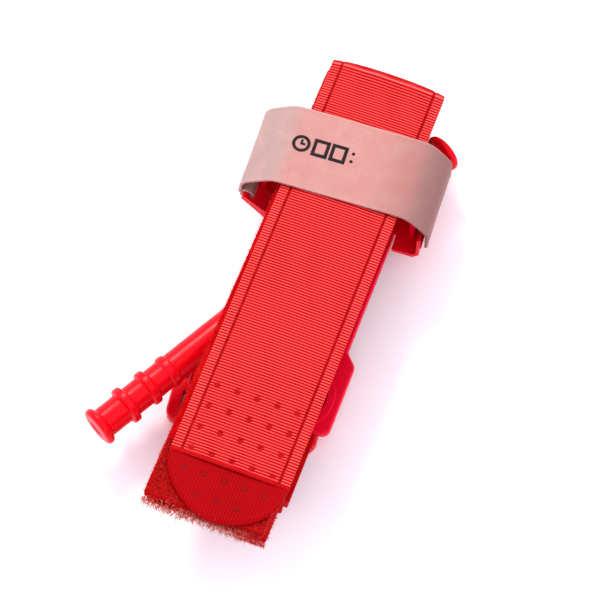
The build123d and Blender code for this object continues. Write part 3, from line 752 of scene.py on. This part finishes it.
def domes(name, spots, radius, rise, material):
    """Small shallow domes at points on a level face."""
    verts, faces, sides = [], [], 18
    rings = ((1.0, -0.12), (0.96, rise * 0.35), (0.7, rise * 0.85), (0.4, rise * 0.7))
    for x, y, z in spots:
        faces += tube_faces(len(verts), len(rings), sides)
        for share, up in rings:
            for j in range(sides):
                a = 2 * math.pi * j / sides
                r = radius * share * (1 + 0.04 * math.sin(3 * a + x))
                verts.append(place(PACK_AXES, y + r * math.sin(a), z + up, x + r * math.cos(a)))
    return new_object(name, verts, outward(verts, faces), material)


band_dots = [(x, y, TOP_FACE + 0.02) for x in DOT_X for y in DOT_Y]
piece(domes("tip_weld_dots", band_dots, 1.15, 0.05, WELD), "pack", "tip_welds", slot="tab")
tab_dots = [(x, y, TAB_TOP - sink) for (x, y), sink in zip(TAB_DOTS, [0.02] * 5 + [0.22] * 3)]
piece(domes("tab_weld_dots", tab_dots, 0.95, 0.12, TAB_WELD), "pack", slot="tab")


# ---------------- fixed stretch and tail
def level_relief(amount):
    """Grosgrain without the pack's unevenness."""

    def relief(s, x, runs, pts):
        h = amount * rib_profile(s) - 0.2 * channel(x) + edge_fall(x, HALF_BAND, 0.35, 0.14) - 0.1
        return h, rib_shade(s)

    return relief


def wall_drift(dist, runs, pts):
    """How far the end wall's foot lies off the fixed stretch."""
    return np.full(len(dist), WALL_LEAN + PACK_X - FIXED_X)


def fixed_drift(dist, runs, pts):
    """Past the clip the fixed stretch wanders to the wall's foot."""
    t = np.clip((pts[:, 0] - 48.0) / 27.0, 0, 1)
    return wall_drift(dist, runs, pts) * t * t * (3 - 2 * t)


# The hook-loop ply starts and ends short of the others at the tail's fold, to let the unfolded tail past.
FIXED_START = TAIL_Y - math.tan(math.radians(TAIL_ANGLE)) * HALF_BAND + 2.6
FIXED_REST = [(57.5, FIXED_Z), (67.0, GROUND_Z), (75.0, GROUND_Z)]
TAIL_REST = [(14.0, TAIL_Z), (-3.2, TAIL_Z), (-3.2, FIXED_Z)]
fixed_line, short_fixed = (
    trace([(start, FIXED_Z)] + FIXED_REST, [6.0, 6.0], RIB / 4, zones={0: RIB / 3})
    for start in (FIXED_START, FIXED_START + 2.0)
)
tail_line, short_tail = (trace(TAIL_REST + [(end, FIXED_Z)], [1.8, 1.8], RIB / 4) for end in (-0.3, -1.35))
plain_cols = columns(BAND_WIDTH, 2.2, [(side * STITCH_X, 0.5, 5) for side in (-1, 1)])
for key, node, *look in (
    ("webbing", "band_webbing", WEBBING_PLY, plain_cols, GROSGRAIN, level_relief(0.12)),
    ("hook_loop", "band_hook_loop", PILE_FACES, plain_cols, PILE, pile_relief(0.08, 31)),
    ("pull_strap", "pull_strap", PULL_FACES, pull_cols, PULL, pull_relief),
):
    lines = (short_fixed, short_tail) if key == "hook_loop" else (fixed_line, tail_line)
    o = ribbon("fixed_stretch_" + key, FIXED_AXES, lines[0], *look, drift=fixed_drift)
    piece(o, "base", "fixed_" + node, slot=key)
    o = ribbon("tail_stretch_" + key, TAIL_AXES, lines[1], *look)
    piece(o, "tail", "tail_" + key, slot=key)


def bending(name, axis, line, plain, bodies, start, end, drift=None):
    """A short stretch of webbing that bends between two bodies."""
    plies = (WEBBING_PLY[0] + 0.04, plain)
    o = ribbon(name, axis, line, plies, plain_cols, GROSGRAIN, level_relief(0.1), drift)
    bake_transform(o, *bodies, start=tuple(start), end=tuple(end))


hinge_line = trace([(74.4, GROUND_Z), (WALL_Y, GROUND_Z), (WALL_Y, 2.2)], [1.0], RIB / 6)
bending("hinge_fold_webbing", FIXED_AXES, hinge_line, 0.2, ("base", "pack"),
        place(PACK_AXES, WALL_Y - 1.0, GROUND_Z, 0.0), place(PACK_AXES, WALL_Y, 1.6, 0.0), wall_drift)
joint_line = trace([(-1.2, FIXED_Z), (4.6, FIXED_Z)], [], RIB / 5)
bending("tail_fold_webbing", TAIL_AXES, joint_line, 0.7, ("tail", "base"),
        place(TAIL_AXES, -0.9, FIXED_Z, 0.0), place(TAIL_AXES, 2.0, FIXED_Z, 0.0))

spots = []
for x in (-STITCH_X, STITCH_X):
    spots += spots_along(FIXED_AXES, fixed_line, x, 3.0, fixed_line[2][-1] - 2, fixed_drift, raised=0.1)
stitches("fixed_stitches", spots, 3.4, 0.26, "base")


# ---------------- curls and fringe
def strands(name, roots, length, radius, material, seed, curl):
    """Short curved yarn ends from (root, direction) pairs, each a tapering three-sided tube."""
    rng = np.random.default_rng(seed)
    verts, faces, weave, shades, levels, sides = [], [], [], [], 5, 3
    for root, out in roots:
        out = out / np.linalg.norm(out)
        side = rng.normal(0, 1, 3)
        side -= out * (side @ out)
        side /= np.linalg.norm(side)
        lift = np.cross(out, side)
        long = length * rng.uniform(0.55, 1.15)
        bend = rng.uniform(-curl, curl) * long
        faces += tube_faces(len(verts), levels, sides)
        for t in np.linspace(0, 1, levels):
            at = root + (out * t * long + side * bend * t * t + lift * 0.35 * bend * math.sin(3 * t)) * MM
            r = radius * (1 - 0.55 * t)
            for j in range(sides):
                a = 2 * math.pi * j / sides
                verts.append(at + (side * math.cos(a) + lift * math.sin(a)) * r * MM)
                weave.append((root[0] / MM, root[1] / MM, 0.0))
                shades.append(t)
    attributes = {"weave": np.array(weave), "shade": np.array(shades)}
    o = new_object(name, verts, outward(verts, faces), material, attributes=attributes)
    piece(o, "pack", slot="hook_loop")


def fold_roots(low_run, count, x_range, drop, seed):
    """Roots on the outside of a lower fold, facing out and down."""
    rng = np.random.default_rng(seed)
    roots = []
    mid, reach = PACK_Z + PITCH * (low_run + 0.5), PITCH / 2 + 0.8
    for _ in range(count):
        a = rng.uniform(-1.45, 1.2)
        x = rng.uniform(*x_range)
        y, z = LOW_Y - reach * math.cos(a), mid + reach * math.sin(a)
        out = np.array([rng.normal(0, 0.35), -math.cos(a), math.sin(a) - drop])
        roots.append((place(PACK_AXES, y, z, x), out))
    return roots


def side_roots(run, face, side, count, seed):
    """Roots along one edge of a run, facing sideways."""
    rng = np.random.default_rng(seed)
    roots = []
    at_top, at_low = LEAN[run]
    for _ in range(count):
        y = rng.uniform(LOW_Y, TOP_Y - 2)
        share = (TOP_Y - y) / (TOP_Y - LOW_Y)
        x = side * (HALF_BAND - 0.25) + at_top + (at_low - at_top) * share
        out = np.array([side * 1.0, rng.normal(0, 0.5), rng.normal(0.1, 0.4)])
        z = PACK_Z + PITCH * (run / 2 - 1) + face * rng.uniform(0.2, 0.75)
        roots.append((place(PACK_AXES, y, z, x), out))
    return roots


def face_roots(z, count, seed):
    """Roots on the pile that shows beyond the rounded tab, facing up."""
    rng = np.random.default_rng(seed)
    roots = []
    while len(roots) < count:
        x, y = rng.uniform(-21.2, 16.6), rng.uniform(LOW_Y - 0.3, -64.0)
        if y < tab_end(np.array(x)) - 0.5 or x < -19.4:
            out = np.array([rng.normal(0, 0.8), rng.normal(0, 0.8), 1.0])
            roots.append((place(PACK_AXES, y, z, x), out))
    return roots


roots = fold_roots(2, 620, (-21.4, 11.0), 0.5, 5) + fold_roots(0, 260, (-20.0, 13.0), 0.5, 6)
strands("low_fold_hook_fringe", roots, 1.55, 0.12, FRINGE, 7, 1.5)
roots = fold_roots(2, 700, (8.0, 16.6), 0.1, 8) + fold_roots(0, 500, (8.0, 17.5), 0.1, 18)
for run, face in ((8, 1), (6, -1), (4, 1), (2, -1)):
    for side in (-1, 1):
        roots += side_roots(run, face, side, 620, run * 10 + side * 19)
roots += face_roots(PACK_Z + 3 * PITCH + BAND / 2, 900, 31)
strands("pack_edge_pile_curls", roots, 0.8, 0.08, CURLS, 12, 1.3)


# ---------------- writing strap
STRAP_PATH = [(-31.1, 20.0), (-30.4, 27.0), (-20.5, STRAP_TOP), (24.0, STRAP_TOP), (31.1, 27.0), (31.1, 18.6)]
BAR, RING_R = np.array((-29.0, 19.4)), 2.1
STRAP_FACES = (STRAP / 2, -STRAP / 2)
STRAP_AXES = clip_shift(WING_MID_Y)


def selvage_shade(x):
    """The strap's edges take their own colour."""
    return np.clip(1.0 - (HALF_STRAP - np.abs(x)) / 0.7, 0, 1) * 0.8


def strap_relief(s, x, runs, pts):
    """A slow unevenness, a fine weave, and raised selvages."""
    selvage = 0.1 * np.exp(-(((HALF_STRAP - 0.8 - np.abs(x)) / 0.4) ** 2))
    slow = 0.14 * waves(s, x, 11, 61) + 0.05 * waves(s, x, 3.5, 63)
    weave = 0.022 * np.sin(2 * math.pi * (s * 0.8 + x * 0.62) / 0.9)
    lines = 0.015 * np.sin(2 * math.pi * x / 0.75)
    return selvage + slow + weave + lines + edge_fall(x, HALF_STRAP, 0.3, 0.2), selvage_shade(x)


def strap_over(s, x, runs, pts):
    """1 where the strap lies on the red band: where the band's light is painted through the strap."""
    u, v = pts[:, :1], pts[:, 1:]
    return np.clip((u + 21.0) / 5, 0, 1) * np.clip((26.5 - u) / 5, 0, 1) * np.clip((v - 30) / 4, 0, 1) * 0.85


def strap_cup(x):
    """How far the strap's edges droop."""
    return -0.18 * (np.abs(x) / HALF_STRAP) ** 2.5


def strap_warp(pts, runs, cols):
    """The droop, only where the strap lies flat."""
    flat = np.clip((pts[:, 1] - 30) / 5, 0, 1)
    return strap_cup(cols)[None, :] * flat[:, None]


strap_line = trace(STRAP_PATH, [7.0, 7.0, 7.0, 4.0], 0.28, arc_step=0.28)
time_strap = ribbon("time_strap_woven", STRAP_AXES, strap_line, STRAP_FACES, columns(STRAP_WIDTH, 0.3), SATIN,
                    strap_relief, warp=strap_warp, mark=strap_over, plain_cols=24)

# the sewn ring round the clip's bar
turns = np.linspace(math.radians(150), math.radians(-150), 44)
ring_pts = BAR + RING_R * np.stack([np.cos(turns), np.sin(turns)], 1)
ring_tan = np.gradient(ring_pts, axis=0)
ring_tan /= np.linalg.norm(ring_tan, axis=1)[:, None]
ring_dist = np.concatenate([[0], np.cumsum(np.linalg.norm(np.diff(ring_pts, axis=0), axis=1))])


def ring_relief(s, x, runs, pts):
    """The strap's own cloth, where it goes round the bar."""
    return edge_fall(x, HALF_STRAP, 0.3, 0.15) + 0.02 * waves(s, x, 3, 65), selvage_shade(x)


ring_line = (ring_pts, ring_tan, ring_dist, np.zeros(len(turns)))
ring_cols = columns(STRAP_WIDTH - 0.4, 0.8)
ring = ribbon("time_strap_ring", STRAP_AXES, ring_line, (0.48, -0.42), ring_cols, SATIN, ring_relief)
piece(time_strap, "writing_strap", "time_strap", slot="strap")
piece(ring, "writing_strap", slot="strap")

patch_x = STRAP_PATH[-1][0] - STRAP / 2 - 0.02
patch = ribbon("time_strap_loop_patch_pile", STRAP_AXES, trace([(patch_x, 23.6), (patch_x, 19.1)], [], 0.3),
               (-0.3, -0.02), columns(STRAP_WIDTH - 2.4, 0.5), PATCH,
               lambda s, x, runs, pts: (0.05 * waves(s, x, 0.5, 71), 0.5))
piece(patch, "writing_strap", "time_strap_loop_patch", slot="patch")

# the stitching that closes the ring, on the outside of the strap's left leg
foot, knee = np.array(STRAP_PATH[0]), np.array(STRAP_PATH[1])
leg = (knee - foot) / np.linalg.norm(knee - foot)
leg_left = np.array([-leg[1], leg[0]])
_, strap_u, strap_v, strap_w = STRAP_AXES
leg_up = strap_u * leg_left[0] + strap_v * leg_left[1]
leg_along = strap_u * leg[0] + strap_v * leg[1]


def on_leg(up_leg, x):
    """A place on the leg's outside, up from its foot and across it."""
    u, v = foot + leg * up_leg + leg_left * (STRAP / 2 + 0.08)
    return place(STRAP_AXES, u, v, x)


spots = [(on_leg(row, x), strap_w, leg_up) for row in (1.1, 3.5) for x in np.arange(-10.5, 10.6, 2.3)]
spots += [(on_leg(2.3, x), leg_along, leg_up) for x in (-11.6, 11.6)]
stitches("time_strap_stitches", spots, 1.9, 0.17, "writing_strap", "time_strap_tack", material=WHITE_THREAD)


# ---------------- printed time field
def line_edges(points, width, closed):
    """The two edges of a flat line of ink along points."""
    p = np.array(points, float)
    after = np.roll(p, -1, 0) - p if closed else np.gradient(p, axis=0)
    before = p - np.roll(p, 1, 0) if closed else after
    after_long = np.linalg.norm(after, axis=1)[:, None]
    t = after / after_long + before / np.linalg.norm(before, axis=1)[:, None]
    t /= np.linalg.norm(t, axis=1)[:, None]
    normal = np.stack([-t[:, 1], t[:, 0]], 1)
    across = np.stack([-after[:, 1], after[:, 0]], 1) / after_long
    half = width / 2 / np.abs(np.sum(normal * across, axis=1))[:, None]
    return p + normal * half, p - normal * half


def ring_of(x, y, radius, count):
    """Points round a circle."""
    angles = np.linspace(0, 2 * math.pi, count + 1)[:-1]
    return [(x + radius * math.cos(a), y + radius * math.sin(a)) for a in angles]


def make_print():
    """A generic time field: a clock, two blank boxes and a colon, lying on the strap."""
    verts, faces = [], []
    clock_x, mid_y = -15.2, 41.7 - WING_MID_Y
    box_width, box_height = 4.2, 5.0

    def surface(u, x):
        path_pts = strap_line[0]
        i = int(np.argmin(np.abs(path_pts[:, 0] - u) + 10 * np.abs(path_pts[:, 1] - STRAP_TOP)))
        h, _ = strap_relief(np.array(strap_line[2][i]), np.array(x), None, None)
        return STRAP_TOP + STRAP / 2 + 0.03 + float(h) + strap_cup(x)

    def add(points, width, closed=True):
        edges = line_edges(points, width, closed)
        start, n = len(verts), len(points)
        for u, y in np.concatenate(edges):
            top = surface(u, -y)
            verts.extend(place(STRAP_AXES, u, top + raised, -y) for raised in (0.035, -0.06))
        for i in range(n if closed else n - 1):
            j = (i + 1) % n
            a0, a1, b0, b1 = start + 2 * i, start + 2 * j, start + 2 * (n + i), start + 2 * (n + j)
            faces.extend([(a0, a1, b1, b0), (b0 + 1, b1 + 1, a1 + 1, a0 + 1)])
            faces.extend([(a1, a0, a0 + 1, a1 + 1), (b0, b1, b1 + 1, b0 + 1)])
        for i in () if closed else (0, n - 1):
            a0, b0 = start + 2 * i, start + 2 * (n + i)
            cap = (a0, b0, b0 + 1, a0 + 1)
            faces.append(cap[::-1] if i else cap)

    add(ring_of(clock_x, mid_y, 2.45, 36), 1.0)
    add([(clock_x, mid_y + along) for along in (-0.3, 0.6, 1.5)], 0.75, closed=False)
    add([(clock_x + along, mid_y) for along in (-0.2, 0.5, 1.3)], 0.75, closed=False)
    for left in (-10.9, -5.0):
        right, low, high = left + box_width, mid_y - box_height / 2, mid_y + box_height / 2
        corners = np.array([(left, low), (right, low), (right, high), (left, high)])
        ends = np.roll(corners, -1, 0)
        add([a + (b - a) * t for a, b in zip(corners, ends) for t in (0, 0.25, 0.5, 0.75)], 1.1)
    for y in (mid_y - 1.4, mid_y + 1.4):
        add(ring_of(1.6, y, 0.28, 14), 0.5)
    return new_object("time_field_print", verts, outward(verts, faces), INK, smooth=False)


piece(make_print(), "writing_strap", "time_print", slot="ink")


# ---------------- windlass rod
ROD_HALF, ROD_R = 73.3, 4.9
WAIST = (6.0, 4.7)  # half width and half height at the rod's middle
SLOT = (27.0, 3.4)
RIBS = ((12.0, 6.3), (20.7, 5.95), (28.9, 5.55))  # distance from the end, radius
# The rod's end from its dished face over the flange's rim: distance from the end, radius
END = [
    (0.35, 0.02), (0.35, 2.2), (0.28, 2.5), (0.1, 2.8), (0.02, 3.2), (0.0, 4.6), (0.06, 5.3), (0.22, 5.8),
    (0.5, 6.15), (0.9, 6.36), (1.4, 6.42), (1.9, 6.36), (2.3, 6.15), (2.55, 5.8), (2.68, 5.4), (2.8, 5.1),
    (3.1, 4.95), (3.6, ROD_R),
]


def rod_profile():
    """Places along the rod and its radius there, with slightly uneven moulded ribs."""
    half = list(END)
    for d in np.arange(3.9, 52, 0.16):
        r = ROD_R + 0.02 * math.sin(d * 0.7)
        for at, rib in RIBS:
            off = abs(d - at)
            if off < 2.4:
                r = max(r, ROD_R + (rib - ROD_R) / (1 + math.exp((off - 1.28) * 9.0)))
        half.append((d, r))
    return [(d - ROD_HALF, r) for d, r in half] + [(ROD_HALF - d, r) for d, r in reversed(half)]


def bake(o):
    """Applies an object's modifiers to its mesh."""
    bpy.context.view_layer.update()
    evaluated = o.evaluated_get(bpy.context.evaluated_depsgraph_get())
    mesh = bpy.data.meshes.new_from_object(evaluated)
    old = o.data
    o.modifiers.clear()
    o.data = mesh
    bpy.data.meshes.remove(old)


def round_edges(o, width, angle):
    """Rounds the edges that are sharper than an angle."""
    bevel = o.modifiers.new("edge", "BEVEL")
    bevel.width, bevel.segments = width * MM, 3
    bevel.limit_method, bevel.angle_limit = "ANGLE", math.radians(angle)
    bake(o)


def slot_cutter(steps=24):
    """The long slot for the windlass strap, as a solid to cut away."""
    radius = SLOT[1] / 2
    rim = []
    for a in np.linspace(0, 2 * math.pi, steps * 2 + 1)[:-1]:
        side = 1 if math.cos(a) >= 0 else -1
        rim.append((side * (SLOT[0] / 2 - radius) + radius * math.cos(a), ROD_Z + radius * math.sin(a)))
    verts = [place(ROD_AXES, reach, z, along) for reach in (-9.0, 9.0) for along, z in rim]
    return new_object("slot_cutter", verts, outward(verts, tube_faces(0, 2, len(rim))), ROD)


def make_rod(sides=72):
    """The turned rod, flattened towards its middle, with the slot cut through."""
    verts, profile = [], rod_profile()
    for along, radius in profile:
        waist = np.clip((20.0 - abs(along)) / 5.0, 0, 1)
        waist = waist * waist * (3 - 2 * waist)
        wide, high = (1 + waist * (half / ROD_R - 1) for half in WAIST)
        for j in range(sides):
            a = 2 * math.pi * j / sides
            at = (radius * math.cos(a) * wide, ROD_Z + radius * math.sin(a) * high, along)
            verts.append(place(ROD_AXES, *at))
    rod = new_object("windlass_rod_moulded", verts, outward(verts, tube_faces(0, len(profile), sides)), ROD)
    cutter = slot_cutter()
    cut = rod.modifiers.new("slot", "BOOLEAN")
    cut.operation, cut.solver, cut.object = "DIFFERENCE", "EXACT", cutter
    bake(rod)
    bpy.data.objects.remove(cutter)
    round_edges(rod, 0.45, 50)
    return rod


piece(make_rod(), "windlass", "windlass_rod", slot="rod")


# ---------------- windlass strap
WIND_WIDTH = 20.0
WIND_FOOT_Z = 9.55


def woven_relief(amount, pitch, half, reach, depth, seed=None):
    """Small ribs, with a painted highlight on their crowns and painted shade between them."""

    def relief(s, x, runs, pts):
        ribs = rib_profile(s, pitch)
        h = amount * ribs + edge_fall(x, half, reach, depth)
        # the shade value: painted shade in the grooves, a painted highlight on the crowns
        return h + (0.05 * waves(s, x, 6, seed) if seed else -0.06), 0.2 + 0.8 * ribs

    return relief


# The strap lies towards the upper end of the rod's slot, and its left foot is drawn in under the band.
wind_path = [(-11.5, WIND_FOOT_Z), (-7.8, ROD_Z), (6.7, ROD_Z), (7.4, WIND_FOOT_Z)]
wind_line = trace(wind_path, [2.0, 2.0], 0.22, arc_step=0.2)
wind_axes = (ROD_AXES[0] + 3.0 * ROD_AXES[3], *ROD_AXES[1:])
wind_strap = ribbon("windlass_strap_woven", wind_axes, wind_line, (0.4, -0.45), columns(WIND_WIDTH, 1.0),
                    GROSGRAIN, woven_relief(0.09, 1.1, WIND_WIDTH / 2, 0.4, 0.14, seed=81))
piece(wind_strap, "windlass", "windlass_strap", slot="pull_strap")


# ---------------- moulded parts refined from their CAD shapes
def refined(node, material, width):
    """A node's own shape, cleaned, with rounded moulded edges."""
    bm = bmesh.new()
    bm.from_mesh(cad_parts[node].data)
    bmesh.ops.remove_doubles(bm, verts=bm.verts, dist=0.00001)
    bmesh.ops.dissolve_limit(bm, angle_limit=math.radians(2), verts=bm.verts, edges=bm.edges)
    mesh = bpy.data.meshes.new(node + "_moulded")
    bm.to_mesh(mesh)
    bm.free()
    mesh.materials.clear()
    mesh.materials.append(material)
    o = bpy.data.objects.new(node + "_moulded", mesh)
    bpy.context.scene.collection.objects.link(o)
    round_edges(o, width, 35)
    o.data.polygons.foreach_set("use_smooth", [True] * len(o.data.polygons))
    o.modifiers.new("normals", "WEIGHTED_NORMAL").keep_sharp = True
    return o


for node, material, width, body, slot in (
    ("base_plate", PLATE, 0.3, "base", "plate"),
    ("windlass_clip", CLIP, 0.35, "base", "clip"),
    ("buckle", BUCKLE, 0.45, "buckle_frame", "buckle"),
):
    piece(refined(node, material, width), body, node, slot=slot)

hook_line = trace([(LIP_X + 0.02, 15.1), (LIP_X + 0.02, 22.1)], [], 0.3)
hooks = ribbon("clip_hook_patch_pile", clip_shift((WING_LOW_Y + SHELF_Y) / 2), hook_line, (-0.28, -0.02),
               columns(SHELF_Y - WING_LOW_Y - 2.2, 0.5), HOOKS,
               lambda s, x, runs, pts: (0.09 * rib_profile(s, 0.9) * rib_profile(x, 0.9), 0.5))
piece(hooks, "base", "clip_hook_patch", slot="patch")

# ---------------- buckle loop and its stitching
LOOP_WIDTH = 37.0
BAR_Y = 33.1 - 15.0 + 1.4
leg_gap = BAND / 2 + 0.35  # from the tail's middle to each leg's
low, high = TAIL_Z - leg_gap, TAIL_Z + leg_gap
below, above, front = TAIL_Z - 1.8, TAIL_Z + 1.8, BAR_Y + 1.8
loop_path = [(4.0, low), (13.0, low), (BAR_Y - 2.0, below), (front, below)]
loop_path += [(front, above), (BAR_Y - 2.0, above), (13.0, high), (4.0, high)]
loop_line = trace(loop_path, [4.0, 4.0, 1.77, 1.77, 4.0, 4.0], 0.23, arc_step=0.2)
buckle_loop = ribbon("buckle_loop_woven", TAIL_AXES, loop_line, (-0.3, 0.25), columns(LOOP_WIDTH, 2.0),
                     GROSGRAIN, woven_relief(0.08, RIB, LOOP_WIDTH / 2, 0.35, 0.12))
piece(buckle_loop, "tail", "buckle_loop", slot="webbing")

# a sewn box with a cross in it
BOX_X, BOX_Y, BOX_REACH = 15.0, 8.9, 3.7
_, tail_u, up, tail_w = TAIL_AXES
stitch_z = high + 0.35
spots = []
for x in (-BOX_X, BOX_X):
    spots += [(place(TAIL_AXES, y, stitch_z, x), tail_u, up) for y in np.arange(5.6, 12.8, 1.7)]
for y in (BOX_Y - BOX_REACH, BOX_Y + BOX_REACH):
    spots += [(place(TAIL_AXES, y, stitch_z, x), tail_w, up) for x in np.arange(-13.8, 14.0, 1.95)]
for side in (-1, 1):
    along = tail_w * BOX_X + tail_u * side * BOX_REACH
    for t in np.linspace(-0.9, 0.9, 14):
        spots.append((place(TAIL_AXES, BOX_Y + side * BOX_REACH * t, stitch_z, BOX_X * t), along, up))
stitches("buckle_box_stitches", spots, 1.5, 0.17, "tail", "buckle_tack")


# ---------------- floor, light and camera
FLOOR_HALF = 3.0
scene = bpy.context.scene
floor_mesh = bpy.data.meshes.new("floor")
corners = [(x * FLOOR_HALF, y * FLOOR_HALF, 0) for x, y in ((-1, -1), (1, -1), (1, 1), (-1, 1))]
floor_mesh.from_pydata(corners, [], [(0, 1, 2, 3)])
floor = bpy.data.objects.new("floor", floor_mesh)
scene.collection.objects.link(floor)
paper = Nodes("paper", 0.55, 0.3)
floor_mesh.materials.append(paper.done(
    paper.mix(paper.noise(paper.where(), 120), (0.93, 0.93, 0.94, 1), (0.97, 0.97, 0.98, 1))
))

world = bpy.data.worlds.new("studio")
world.use_nodes = True
world.node_tree.nodes["Background"].inputs["Color"].default_value = (0.96, 0.93, 1.03, 1)
world.node_tree.nodes["Background"].inputs["Strength"].default_value = 1.3
scene.world = world


def softbox(name, at, size, watts, colour):
    """A round soft light aimed at the object."""
    data = bpy.data.lights.new(name, "AREA")
    data.shape, data.size, data.energy, data.color = "DISK", size, watts, colour
    o = bpy.data.objects.new(name, data)
    scene.collection.objects.link(o)
    o.location = at
    o.rotation_euler = (Vector((0, 0, 0.02)) - Vector(at)).to_track_quat("-Z", "Y").to_euler()


softbox("key", (-0.45, 0.55, 0.85), 0.3, 6.2, (1, 0.97, 0.94))
softbox("fill", (0.5, -0.5, 0.9), 0.8, 0.8, (1, 0.97, 0.96))

camera_data = bpy.data.cameras.new("camera")
camera_data.lens, camera_data.sensor_width = 144.0, 36.0
camera_data.clip_start, camera_data.clip_end = 0.05, 20
camera = bpy.data.objects.new("camera", camera_data)
scene.collection.objects.link(camera)
camera.location = (0.105618, -0.283083, 0.711916)
camera.rotation_euler = [math.radians(a) for a in (23.392, -0.701, 20.544)]
scene.camera = camera
scene.view_settings.view_transform = "Standard"
scene.view_settings.look = "Medium High Contrast"
scene.view_settings.exposure = -0.2
scene.view_settings.gamma = 1.0
